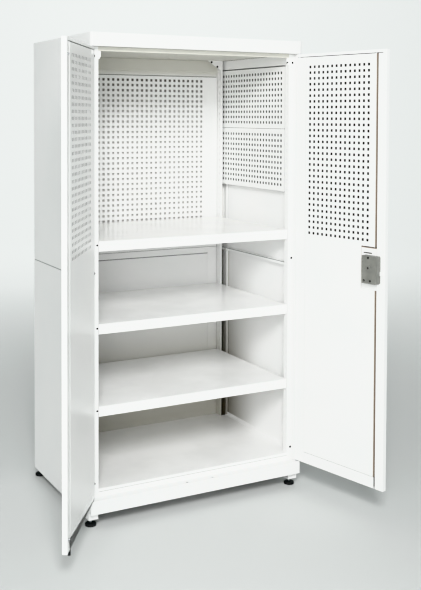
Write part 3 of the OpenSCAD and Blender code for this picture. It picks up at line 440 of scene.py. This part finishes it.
WELD = 1e-6
SMOOTH_DEG = 40.0
SCREW_SMOOTH_DEG = 30.0
FLAT_DEG = 0.5
FOLD_DEG = 30.0
FOLD_SEGMENTS = 3
LEAST_WIDTH = 3.0 * MM


def paint(thing, *finishes):
    """Give an object's new mesh these finishes, one in each slot. Clearing them would reset its faces."""
    for finish in finishes:
        thing.data.materials.append(finish)


def keep_nodes(nodes, finish):
    """Keep construction parts as they are, and give each slot of theirs one finish."""
    for node in nodes:
        thing = frame["nodes"][node]
        if not thing.material_slots:
            thing.data.materials.append(finish)
        for slot in thing.material_slots:
            slot.material = finish


def body_of(node):
    """The body that a construction part belongs to."""
    for body, nodes in frame["record"]["behaviour"]["bodies"].items():
        if node in nodes:
            return body
    raise RuntimeError("no body holds " + node)


def stand_in(name, mesh, node, *finishes, smooth=SMOOTH_DEG):
    """Make an object of a finished mesh, shade it, ride it on its body and let it stand for the part."""
    data = bpy.data.meshes.new(name)
    mesh.to_mesh(data)
    mesh.free()
    thing = bpy.data.objects.new(name, data)
    bpy.context.scene.collection.objects.link(thing)
    paint(thing, *finishes)
    for face in data.polygons:
        face.use_smooth = True
    data.set_sharp_from_angle(angle=math.radians(smooth))
    modifier = thing.modifiers.new("even_normals", "WEIGHTED_NORMAL")
    modifier.keep_sharp = True
    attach(thing, body_of(node))
    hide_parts(node)
    return thing


def narrow(face):
    """Rough width of a face: its area over its longest side."""
    longest = max(edge.calc_length() for edge in face.edges)
    return face.calc_area() / longest


def round_folds(mesh, radius, least_width):
    """Bevel the outer folds of a sheet: edges where two wide faces meet at a clear angle."""
    bmesh.ops.dissolve_limit(mesh, angle_limit=math.radians(FLAT_DEG), verts=mesh.verts,
                             edges=mesh.edges)
    bmesh.ops.recalc_face_normals(mesh, faces=mesh.faces)
    folds = []
    for edge in mesh.edges:
        if len(edge.link_faces) != 2 or not edge.is_convex:
            continue
        if edge.calc_face_angle(0.0) < math.radians(FOLD_DEG):
            continue
        if min(narrow(face) for face in edge.link_faces) >= least_width:
            folds.append(edge)
    bmesh.ops.bevel(mesh, geom=folds, offset=radius, segments=FOLD_SEGMENTS, profile=0.5, affect="EDGES",
                    clamp_overlap=True, miter_outer="ARC")


def sheet_copy(node, finish, home=BODY, radius=0.0, bare=None, cuts=(), least_width=LEAST_WIDTH,
               cavity=("bare",)):
    """Copy a sheet part, round its folds and give faces in cavities, gaps and corners darker finishes,
    partly painted shade.

    bare tests a face's middle (mm) and direction in the frame called home, and says which of the cavity's
    finishes the face has, from 1, or 0 for none. cuts are planes in that frame that part a face before the
    test.
    """
    mesh = bmesh.new()
    mesh.from_mesh(frame["nodes"][node].data)
    bmesh.ops.remove_doubles(mesh, verts=mesh.verts, dist=WELD)
    if radius:
        round_folds(mesh, radius, least_width)
    inverse = home.inverted()
    for place_mm, direction in cuts:
        bmesh.ops.bisect_plane(mesh, geom=list(mesh.verts) + list(mesh.edges) + list(mesh.faces),
                               plane_co=home @ (Vector(place_mm) * MM),
                               plane_no=home.to_3x3() @ Vector(direction))
    for face in mesh.faces:
        place = (inverse @ face.calc_center_median()) / MM
        direction = inverse.to_3x3() @ face.normal
        face.material_index = int(bare(place, direction)) if bare else 0
    return stand_in(node + "_sheet", mesh, node, finish, *[MATERIALS[name] for name in cavity])


def side_frame(side):
    """Frame of the body's left or right side, in which the side lies at positive x."""
    return BODY @ Matrix.Scale(side, 4, (1, 0, 0))


def turned(mesh, place, profile, segments, ripple=None):
    """Add a turned shape about an upright axis: rings of (radius, height), open at its ends."""
    rings = []
    for radius, height in profile:
        ring = []
        for step in range(segments):
            angle = math.tau * step / segments
            reach = radius + (ripple(angle, radius, height) if ripple else 0.0)
            ring.append(mesh.verts.new(Vector(place) + Vector(
                (reach * math.cos(angle), reach * math.sin(angle), height))))
        rings.append(ring)
    for low, high in zip(rings, rings[1:]):
        for step in range(segments):
            after = (step + 1) % segments
            mesh.faces.new((low[step], low[after], high[after], high[step]))
    return rings


# Screws: a pan head with a cross recess

HEAD_PROFILE = ((1.0, 0.0), (1.0, 0.35), (0.93, 0.68), (0.78, 0.9), (0.62, 1.0))
RECESS_ARM = 0.46
RECESS_HALF = 0.12
RECESS_DEPTH = 0.6
HEAD_SEGMENTS = 24


def screw_mesh(mesh, matrix, radius, height):
    """Add a pan head with a cross recess, standing up its own z axis from the matrix's place."""
    start = len(mesh.verts)
    rings = turned(mesh, (0, 0, 0), [(radius * r, height * z) for r, z in HEAD_PROFILE], HEAD_SEGMENTS)
    mesh.faces.new(list(reversed(rings[0])))
    arm, half = radius * RECESS_ARM, radius * RECESS_HALF
    outline = []
    for turn in range(4):
        spin = Matrix.Rotation(turn * math.pi / 2, 3, "Z")
        for x, y in ((arm, -half), (arm, half), (half, half)):
            outline.append(spin @ Vector((x, y, 0.0)))
    top = [mesh.verts.new((p.x, p.y, height)) for p in outline]
    low = [mesh.verts.new((p.x, p.y, height * (1 - RECESS_DEPTH))) for p in outline]
    count = len(outline)
    loop_edges = [mesh.edges.new((top[i], top[(i + 1) % count])) for i in range(count)]
    rim = rings[-1]
    rim_edges = [mesh.edges.get((rim[i], rim[(i + 1) % HEAD_SEGMENTS])) for i in range(HEAD_SEGMENTS)]
    bmesh.ops.triangle_fill(mesh, use_beauty=True, use_dissolve=False, edges=loop_edges + rim_edges,
                            normal=(0, 0, 1))
    for i in range(count):
        after = (i + 1) % count
        mesh.faces.new((top[after], top[i], low[i], low[after]))
    mesh.faces.new(low)
    mesh.verts.ensure_lookup_table()
    bmesh.ops.transform(mesh, matrix=matrix, verts=mesh.verts[start:])


def islands(data):
    """Lowest and highest corner of each loose part of a mesh."""
    mesh = bmesh.new()
    mesh.from_mesh(data)
    bmesh.ops.remove_doubles(mesh, verts=mesh.verts, dist=WELD)
    left = set(mesh.verts)
    boxes = []
    while left:
        open_verts = [left.pop()]
        found = []
        while open_verts:
            vert = open_verts.pop()
            found.append(vert.co.copy())
            for edge in vert.link_edges:
                other = edge.other_vert(vert)
                if other in left:
                    left.remove(other)
                    open_verts.append(other)
        low = Vector([min(p[axis] for p in found) for axis in range(3)])
        high = Vector([max(p[axis] for p in found) for axis in range(3)])
        boxes.append((low, high))
    mesh.free()
    boxes.sort(key=lambda box: tuple(round(value, 5) for value in box[0]))
    return boxes


def head_frame(low, high):
    """Matrix of a screw head from its box: its axis is the thinnest way, and points out of its seat."""
    size = high - low
    axis = min(range(3), key=lambda i: size[i])
    middle = (low + high) / 2
    out = Vector((0, 0, 0))
    if axis == 0:
        out.x = -1.0 if middle.x > ORIGIN.x else 1.0
    else:
        out.y = 1.0 if middle.y > BACK_Y else -1.0
    seat = middle - out * size[axis] / 2
    turn = out.to_track_quat("Z", "Y").to_matrix().to_4x4()
    return Matrix.Translation(seat) @ turn


BACK_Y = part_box("upper_back")[0].y


# Tests of faces. A face looks along an axis where that part of its direction is over FACING. It leans that
# way over LEANING, and only just over OUTWARD.
FACING = 0.9
LEANING = 0.5
OUTWARD = 0.1
# Allowances: on a sheet's face, within a door's sheet, behind the boards, and in a side's outer sheet
TOUCH_MM = 0.1
IN_SHEET_MM = 0.2
BEHIND_MM = 5.0
SHELL_MM = 3.0
# Places on the body
BACK_FACE_MM = (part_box("back_pegboard")[0].y - ORIGIN.y) / MM
REAR_POST_Y_MM = (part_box("rear_right_post")[0].y - ORIGIN.y) / MM
BOARD_X_MM = (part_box("upper_right_pegboard")[0].x - ORIGIN.x) / MM
BOARD_FRONT_MM = (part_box("upper_right_pegboard")[0].y - ORIGIN.y) / MM
BOARD_REAR_MM = (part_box("upper_right_pegboard")[1].y - ORIGIN.y) / MM
BOARDS_LOW_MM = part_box("middle_right_pegboard")[0].z / MM
# Strip of the lower side beside the rear post, which carries a painted band of shade
GROOVE_FRONT_MM = REAR_POST_Y_MM - 9.0
GROOVE_REAR_MM = REAR_POST_Y_MM + 6.0
# Depth inside a door, and the edges of the right door's panel and lock bracket, from the hinge edge, that
# are painted dark as shadow lines
DOOR_INSIDE_MM = DOOR_T_MM - SHEET_MM + IN_SHEET_MM
EDGE_S_MM = 445.5
EDGE_W_MM = 3.6
BRACKET_EDGE_Z_MM = 1117.5
BRACKET_EDGE_S_MM = 376.0
# Sunk field of the lower back liner with the painted shadow line over it, and the painted shadow line of the
# joint under the floor's front lip
FIELD_DEPTH_MM = 4.0
SHADOW_LINE_LOW_MM = 970.0
SHADOW_LINE_H_MM = 4.2
FLOOR_FRONT_MM = (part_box("floor_panel")[0].y - ORIGIN.y) / MM + 0.5
JOINT_LOW_MM = 137.5
JOINT_H_MM = 1.8


# The tests below pick faces that take the dark cavity finishes, which paint the shade seen through holes,
# slots and gaps.
def behind_boards(place, direction):
    """Inner face of an upper side that its pegboards cover."""
    inner = direction.x < -FACING and place.x > BOARD_X_MM + BEHIND_MM
    return inner and place.z > BOARDS_LOW_MM and BOARD_FRONT_MM < place.y < BOARD_REAR_MM


def lower_side_inside(place, direction):
    """Inner faces of a lower side: 1 for the strip beside the rear post, a painted band of shade, and 2 for
    the rest, which darkens as painted shade towards the low rear corner.
    """
    shell = place.x > HALF_W / MM - SHELL_MM and direction.x > -LEANING
    if shell or direction.x > OUTWARD or direction.y > LEANING:
        return 0
    inner = direction.x < -FACING and place.x > BOARD_X_MM + BEHIND_MM
    return 1 if inner and GROOVE_FRONT_MM < place.y < GROOVE_REAR_MM else 2


def facing_front(place, direction):
    """Front face of a back sheet, which its liner covers."""
    return direction.y < -FACING


def back_liner_inside(place, direction):
    """Faces of a back liner behind its sheet."""
    return place.y > BACK_FACE_MM + SHEET_MM - TOUCH_MM


def lower_liner_inside(place, direction):
    """Faces of the lower back liner behind its sheet, and the painted shadow line over its sunk field."""
    sunk = direction.y < -FACING and place.y > BACK_FACE_MM + 1
    shadow_line = sunk and SHADOW_LINE_LOW_MM < place.z < SHADOW_LINE_LOW_MM + SHADOW_LINE_H_MM
    return shadow_line or place.y > BACK_FACE_MM + FIELD_DEPTH_MM + 1


def floor_joint(place, direction):
    """Band on the floor's front lip, at its joint with the riser under it, painted dark as the joint's
    shadow.
    """
    front = direction.y < -FACING and place.y < FLOOR_FRONT_MM
    return front and JOINT_LOW_MM < place.z < JOINT_LOW_MM + JOINT_H_MM


def board_inside(place, direction):
    """Faces of a side pegboard behind its sheet, apart from its front edge."""
    front = direction.y < -FACING and place.y < BOARD_FRONT_MM + 1
    return place.x > BOARD_X_MM + SHEET_MM - TOUCH_MM and not front


def skin_inside(place, direction):
    """Faces of a door's skin that look into the door, which take the dark cavity steel as painted shade."""
    return SHEET_MM - IN_SHEET_MM < place.y < DOOR_INSIDE_MM and abs(direction.y) > FACING


def left_panel_inside(place, direction):
    """Inner face of the left door's panel, which takes the dark cavity colour as painted shade; its flanges
    are coated.
    """
    return place.y < DOOR_INSIDE_MM and abs(direction.y) > FACING


def right_panel_inside(place, direction):
    """Faces of the right door's panel inside the door, and its edge along the channel painted dark as the
    shadow of a wider gap.
    """
    return place.y < DOOR_INSIDE_MM or EDGE_S_MM < place.x < EDGE_S_MM + EDGE_W_MM


def bracket_inside(place, direction):
    """Faces of the lock bracket inside the door, and its upper and outer edges painted dark as shadow lines.
    """
    return place.y < DOOR_INSIDE_MM or place.z > BRACKET_EDGE_Z_MM or place.x < BRACKET_EDGE_S_MM


# Operators

class CABINET_OT_finishes(bpy.types.Operator):
    """All the finishes; the pieces need them first"""
    bl_idname = "cabinet.finishes"
    bl_label = "Finishes"

    def execute(self, context):
        make_materials()
        return {"FINISHED"}


class CABINET_OT_body(bpy.types.Operator):
    """Cap, sides, posts, rails and backs of folded sheet"""
    bl_idname = "cabinet.body"
    bl_label = "Body"

    def execute(self, context):
        radius = context.scene.cabinet_finish.fold_radius
        coat = MATERIALS["coat"]
        for node in ("top_cap", "plinth", "side_top_rails"):
            sheet_copy(node, coat, radius=radius)
        for node in ("ceiling_panel", "rear_top_rail"):
            sheet_copy(node, MATERIALS["thin_top"], radius=radius)
        upper_cuts = (((0, 0, BOARDS_LOW_MM), (0, 0, 1)), ((0, BOARD_FRONT_MM, 0), (0, 1, 0)),
                      ((0, BOARD_REAR_MM, 0), (0, 1, 0)))
        pocket_cuts = (((0, GROOVE_FRONT_MM, 0), (0, 1, 0)), ((0, GROOVE_REAR_MM, 0), (0, 1, 0)))
        for name, side in (("left", -1), ("right", 1)):
            home = side_frame(side)
            sheet_copy("upper_" + name + "_side", coat, home, radius, behind_boards, upper_cuts)
            sheet_copy("lower_" + name + "_side", coat, home, radius, lower_side_inside, pocket_cuts,
                       cavity=("pocket", "corner_shaded"))
            sheet_copy("rear_" + name + "_post", MATERIALS["thin_low"])
            for row in ("upper", "middle"):
                sheet_copy(row + "_" + name + "_pegboard", coat, home, bare=board_inside)
        for node, cavity in (("upper_back", ("graded_shade",)), ("lower_back", ("bare",))):
            sheet_copy(node, coat, bare=facing_front, cavity=cavity)
        sheet_copy("back_pegboard", coat, bare=back_liner_inside)
        sheet_copy("lower_back_liner", MATERIALS["thin_low"], bare=lower_liner_inside,
                   cuts=(((0, 0, SHADOW_LINE_LOW_MM), (0, 0, 1)),))
        sheet_copy("front_left_post", coat)
        keep_nodes(("front_right_post", "corner_gussets", "rear_gussets"), coat)
        # The sides' joint strips are plain grey, darker than the coat.
        keep_nodes(("side_joint_strips",), MATERIALS["groove"])
        return {"FINISHED"}


class CABINET_OT_shelves(bpy.types.Operator):
    """Floor panel, shelves and their clips"""
    bl_idname = "cabinet.shelves"
    bl_label = "Shelves"

    def execute(self, context):
        radius = context.scene.cabinet_finish.fold_radius
        joint = (((0, 0, JOINT_LOW_MM), (0, 0, 1)), ((0, 0, JOINT_LOW_MM + JOINT_H_MM), (0, 0, 1)))
        sheet_copy("floor_panel", MATERIALS["gloss"], radius=radius, bare=floor_joint, cuts=joint)
        for node in ("floor_strips", "top_shelf", "middle_shelf", "bottom_shelf"):
            sheet_copy(node, MATERIALS["gloss"], radius=radius)
        keep_nodes(("shelf_clips",), MATERIALS["zinc"])
        return {"FINISHED"}


class CABINET_OT_doors(bpy.types.Operator):
    """Door skins, inner panels, hinges and flush bolts"""
    bl_idname = "cabinet.doors"
    bl_label = "Doors"

    def execute(self, context):
        radius = context.scene.cabinet_finish.fold_radius
        coat = MATERIALS["coat"]
        edge_cut = ((EDGE_S_MM, 0, 0), (1, 0, 0))
        bracket_cuts = (((0, 0, BRACKET_EDGE_Z_MM), (0, 0, 1)), ((BRACKET_EDGE_S_MM, 0, 0), (1, 0, 0)))
        doors = (("left", LEFT_DOOR, left_panel_inside), ("right", RIGHT_DOOR, right_panel_inside))
        for name, home, inside in doors:
            sheet_copy(name + "_door_skin", coat, home, radius, skin_inside)
            sheet_copy(name + "_door_panel", coat, home, bare=inside, cuts=(edge_cut,), cavity=("edge",))
        sheet_copy("lock_bracket", coat, RIGHT_DOOR, bare=bracket_inside, cuts=bracket_cuts,
                   cavity=("edge",))
        keep_nodes(("left_hinge_plates", "right_hinge_plates"), coat)
        keep_nodes(("left_hinge_bushes", "right_hinge_bushes", "left_bolt_guides", "rod_guides",
                    "hinge_pins"), MATERIALS["zinc"])
        keep_nodes(("top_flush_bolt", "bottom_flush_bolt", "upper_rod", "lower_rod"), MATERIALS["drawn"])
        keep_nodes(("bottom_bolt_tip",), MATERIALS["nylon"])
        return {"FINISHED"}


# Screws of the lock case, over its bosses: distance from the hinge edge and height
CASE_SCREWS_MM = ((433.0, 1082.0), (412.0, 987.0), (444.0, 987.0))
CASE_FACE_MM = 47.0
CASE_SCREW_R = 4.8 * MM
CASE_SCREW_H = 1.6 * MM
CASE_FOLD = 2.5 * MM
CASE_LEAST_WIDTH = 4.0 * MM


class CABINET_OT_lock(bpy.types.Operator):
    """Lock case, latch, handle and key cylinder"""
    bl_idname = "cabinet.lock"
    bl_label = "Lock"

    def execute(self, context):
        sheet_copy("lock_case", MATERIALS["case"], RIGHT_DOOR, CASE_FOLD, least_width=CASE_LEAST_WIDTH)
        keep_nodes(("handle_plate", "turn_handle"), MATERIALS["chrome"])
        keep_nodes(("key_cylinder", "lock_cam"), MATERIALS["zinc"])
        keep_nodes(("latch_bolt",), MATERIALS["coat"])
        mesh = bmesh.new()
        facing = Matrix.Rotation(-math.pi / 2, 4, "X")
        for reach, height in CASE_SCREWS_MM:
            seat = Matrix.Translation(Vector((reach, CASE_FACE_MM, height)) * MM)
            screw_mesh(mesh, RIGHT_DOOR @ seat @ facing, CASE_SCREW_R, CASE_SCREW_H)
        bmesh.ops.recalc_face_normals(mesh, faces=mesh.faces)
        stand_in("lock_case_screws", mesh, "lock_case", MATERIALS["black"], smooth=SCREW_SMOOTH_DEG)
        return {"FINISHED"}


# Feet: a ribbed moulded pad on a threaded stem

PAD_R = 23.0 * MM
PAD_H = 12.0 * MM
PAD_SEGMENTS = 144
PAD_PROFILE = ((0.2, 0.0), (0.94, 0.0), (0.985, 0.03), (1.0, 0.1), (1.0, 0.72), (0.97, 0.82), (0.86, 0.95),
               (0.8, 0.985), (0.5, 1.0), (0.42, 1.0), (0.3, 1.05), (0.22, 1.15))
STEM_R = 5.0 * MM
STEM_END_R = 3.5 * MM
STEM_BASE = 7.2 * MM
STEM_SEGMENTS = 24
STEPS_PER_TURN = 6
THREAD_PITCH = 1.5 * MM
THREAD_DEPTH = 0.8 * MM
NUT_FOLD = 0.8 * MM
GRIPS = 18
GRIP_DEPTH = 0.8 * MM
GRIP_BASE = 1.1 * MM
GRIP_SHARPNESS = 4


def pad_ripple(angle, radius, height):
    """Shallow finger grips round the skirt of a foot pad."""
    if radius < PAD_R - 2 * GRIP_DEPTH or height < GRIP_BASE:
        return 0.0
    return -GRIP_DEPTH * (0.5 - 0.5 * math.cos(GRIPS * angle)) ** GRIP_SHARPNESS


def thread_ripple(angle, radius, height):
    """Helical thread of a foot's stem."""
    if radius < STEM_R:
        return 0.0
    phase = (height / THREAD_PITCH - angle / math.tau) % 1.0
    return -THREAD_DEPTH * (1 - abs(2 * phase - 1))


class CABINET_OT_feet(bpy.types.Operator):
    """Levelling feet with their brackets and locknuts"""
    bl_idname = "cabinet.feet"
    bl_label = "Feet"

    def execute(self, context):
        pad = [(PAD_R * r, PAD_H * z) for r, z in PAD_PROFILE]
        for node in ("front_left_foot", "front_right_foot", "rear_left_foot", "rear_right_foot"):
            low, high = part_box(node)
            place = ((low.x + high.x) / 2, (low.y + high.y) / 2, 0.0)
            mesh = bmesh.new()
            rings = turned(mesh, place, pad, PAD_SEGMENTS, pad_ripple)
            mesh.faces.new(list(reversed(rings[0])))
            mesh.faces.new(rings[-1])
            stand_in(node + "_pad", mesh, node, MATERIALS["rubber"])
            mesh = bmesh.new()
            base, top = STEM_BASE, high.z
            steps = round((top - base) / THREAD_PITCH * STEPS_PER_TURN)
            stem = [(STEM_END_R, base)]
            stem += [(STEM_R, base + (top - base) * step / steps) for step in range(1, steps)]
            stem += [(STEM_END_R, top)]
            rings = turned(mesh, place, stem, STEM_SEGMENTS, thread_ripple)
            mesh.faces.new(list(reversed(rings[0])))
            mesh.faces.new(rings[-1])
            stand_in(node + "_stem", mesh, node, MATERIALS["zinc"])
        sheet_copy("foot_locknuts", MATERIALS["zinc"], radius=NUT_FOLD)
        keep_nodes(("foot_brackets",), MATERIALS["coat"])
        return {"FINISHED"}


# How far a head spreads over the construction's plain one
HEAD_SPREAD = 1.3

# Small screws seen from the front: three at the left post's inner edge, beside the shelves, and the gusset's
SMALL_SCREWS_MM = ((-459.0, 36.0, 1140.0), (-459.0, 36.0, 804.0), (-459.0, 36.0, 469.0),
                   (447.0, 37.5, 1898.0))
SMALL_SCREW_R = 4.2 * MM
SMALL_SCREW_H = 1.2 * MM


class CABINET_OT_screws(bpy.types.Operator):
    """Cross-recessed screws of the frame, the left post and the gusset"""
    bl_idname = "cabinet.screws"
    bl_label = "Screws"

    def execute(self, context):
        mesh = bmesh.new()
        for low, high in islands(frame["nodes"]["frame_screws"].data):
            size = sorted(high - low)
            screw_mesh(mesh, head_frame(low, high), HEAD_SPREAD * size[2] / 2, size[0])
        stand_in("frame_screw_heads", mesh, "frame_screws", MATERIALS["black"], smooth=SCREW_SMOOTH_DEG)
        mesh = bmesh.new()
        facing = Matrix.Rotation(math.pi / 2, 4, "X")
        for seat in SMALL_SCREWS_MM:
            place = Matrix.Translation(Vector(seat) * MM)
            screw_mesh(mesh, BODY @ place @ facing, SMALL_SCREW_R, SMALL_SCREW_H)
        stand_in("small_screw_heads", mesh, "front_left_post", MATERIALS["black"], smooth=SCREW_SMOOTH_DEG)
        return {"FINISHED"}


def look_matrix(place, yaw, pitch, roll):
    """Camera matrix that looks along +Y turned by yaw towards +X, then tipped and rolled."""
    forward = Vector((math.sin(yaw) * math.cos(pitch), math.cos(yaw) * math.cos(pitch), math.sin(pitch)))
    level = Vector((math.cos(yaw), -math.sin(yaw), 0.0))
    upright = level.cross(forward)
    right = level * math.cos(roll) + upright * math.sin(roll)
    up = upright * math.cos(roll) - level * math.sin(roll)
    matrix = Matrix((right, up, -forward)).transposed().to_4x4()
    matrix.translation = place
    return matrix


def add_camera():
    """Camera at the photograph's place, with the shift that its framing needs."""
    data = bpy.data.cameras.new("photo_camera")
    data.sensor_width = SENSOR_MM
    data.lens = FOCAL_PX * SENSOR_MM / PHOTO_H
    data.shift_x = (PHOTO_W / 2 - CENTRE_PX[0]) / PHOTO_H
    data.shift_y = (CENTRE_PX[1] - PHOTO_H / 2) / PHOTO_H
    data.clip_end = CLIP_END
    camera = bpy.data.objects.new("photo_camera", data)
    bpy.context.scene.collection.objects.link(camera)
    place = ORIGIN + Vector(CAMERA_MM) * MM
    camera.matrix_world = look_matrix(place, CAMERA_YAW, CAMERA_PITCH, CAMERA_ROLL)
    bpy.context.scene.camera = camera


def add_area_light(name, place, target, size, power):
    """A square soft white light aimed at a point."""
    data = bpy.data.lights.new(name, "AREA")
    data.shape = "SQUARE"
    data.size = size
    data.energy = power
    light = bpy.data.objects.new(name, data)
    bpy.context.scene.collection.objects.link(light)
    light.location = place
    aim = Vector(target) - Vector(place)
    light.rotation_euler = aim.to_track_quat("-Z", "Y").to_euler()


# Studio: a round paper sweep, level in the middle and curved up to a wall all round, so no horizon shows
FLAT_R = 9.0
FLAT_STEPS = 6
SWEEP_R = 5.0
WALL_TOP = 6.0
SWEEP_STEPS = 24
SWEEP_SEGMENTS = 96
PAPER_ROUGHNESS = 0.85
KEY_TARGET = (0.0, 0.3, 0.9)
KEY_WAY = (-0.35, -0.80, 0.48)
KEY_DISTANCE = 6.5
KEY_SIZE = 1.5
FILL_WAY = (-0.55, -0.82, 0.15)
FILL_DISTANCE = 5.0
FILL_SIZE = 2.6
WALL_LIGHT_AT = (2.5, 6.0, 7.5)
WALL_LIGHT_TARGET = (6.5, 11.5, 1.0)
WALL_LIGHT_SIZE = 5.0


class CABINET_OT_stage(bpy.types.Operator):
    """Paper sweep, lights, sky and the photograph's camera"""
    bl_idname = "cabinet.stage"
    bl_label = "Stage"

    def execute(self, context):
        studio = context.scene.cabinet_studio
        mesh = bmesh.new()
        profile = [(FLAT_R * step / FLAT_STEPS, 0.0) for step in range(1, FLAT_STEPS + 1)]
        for step in range(1, SWEEP_STEPS + 1):
            angle = math.pi / 2 * step / SWEEP_STEPS
            profile.append((FLAT_R + SWEEP_R * math.sin(angle), SWEEP_R * (1 - math.cos(angle))))
        profile.append((FLAT_R + SWEEP_R, WALL_TOP))
        rings = turned(mesh, (0, 0, 0), profile, SWEEP_SEGMENTS)
        mesh.faces.new(list(reversed(rings[0])))
        data = bpy.data.meshes.new("paper_sweep")
        mesh.to_mesh(data)
        mesh.free()
        for face in data.polygons:
            face.use_smooth = True
        sweep = bpy.data.objects.new("paper_sweep", data)
        context.scene.collection.objects.link(sweep)
        # Paper takes the coat's nodes, without its gloss and clouds
        paint(sweep, powder_coat("matt_backdrop_paper", studio.paper, studio.paper, PAPER_ROUGHNESS))
        key = Vector(KEY_TARGET) + Vector(KEY_WAY).normalized() * KEY_DISTANCE
        add_area_light("key_light", key, KEY_TARGET, KEY_SIZE, studio.key_power)
        fill = Vector(KEY_TARGET) + Vector(FILL_WAY).normalized() * FILL_DISTANCE
        add_area_light("fill_light", fill, KEY_TARGET, FILL_SIZE, studio.fill_power)
        add_area_light("wall_light", WALL_LIGHT_AT, WALL_LIGHT_TARGET, WALL_LIGHT_SIZE, studio.wall_power)
        world = bpy.data.worlds.new("studio_sky")
        world.use_nodes = True
        background = world.node_tree.nodes["Background"]
        background.inputs["Color"].default_value = srgb(studio.sky)
        background.inputs["Strength"].default_value = studio.sky_strength
        context.scene.world = world
        context.scene.view_settings.view_transform = "Khronos PBR Neutral"
        add_camera()
        return {"FINISHED"}


OPERATORS = (CABINET_OT_finishes, CABINET_OT_stage, CABINET_OT_body, CABINET_OT_shelves, CABINET_OT_doors,
             CABINET_OT_lock, CABINET_OT_feet, CABINET_OT_screws)


class CABINET_PT_panel(bpy.types.Panel):
    """Settings and pieces of the tool cabinet"""
    bl_idname = "CABINET_PT_panel"
    bl_label = "Tool Cabinet"
    bl_space_type = "VIEW_3D"
    bl_region_type = "UI"
    bl_category = "Cabinet"

    def draw(self, context):
        layout = self.layout
        for group in (context.scene.cabinet_finish, context.scene.cabinet_studio):
            for name in group.bl_rna.properties.keys():
                if name not in ("rna_type", "name"):
                    layout.prop(group, name)
        for operator in OPERATORS:
            layout.operator(operator.bl_idname)


CLASSES = (CabinetFinish, CabinetStudio, *OPERATORS, CABINET_PT_panel)


def register():
    for cls in CLASSES:
        bpy.utils.register_class(cls)
    bpy.types.Scene.cabinet_finish = bpy.props.PointerProperty(type=CabinetFinish)
    bpy.types.Scene.cabinet_studio = bpy.props.PointerProperty(type=CabinetStudio)


def unregister():
    del bpy.types.Scene.cabinet_studio
    del bpy.types.Scene.cabinet_finish
    for cls in reversed(CLASSES):
        bpy.utils.unregister_class(cls)


def main():
    register()
    bpy.ops.cabinet.finishes()
    bpy.ops.cabinet.stage()
    bpy.ops.cabinet.body()
    bpy.ops.cabinet.shelves()
    bpy.ops.cabinet.doors()
    bpy.ops.cabinet.lock()
    bpy.ops.cabinet.feet()
    bpy.ops.cabinet.screws()
    bpy.context.view_layer.update()


if __name__ == "__main__":
    main()
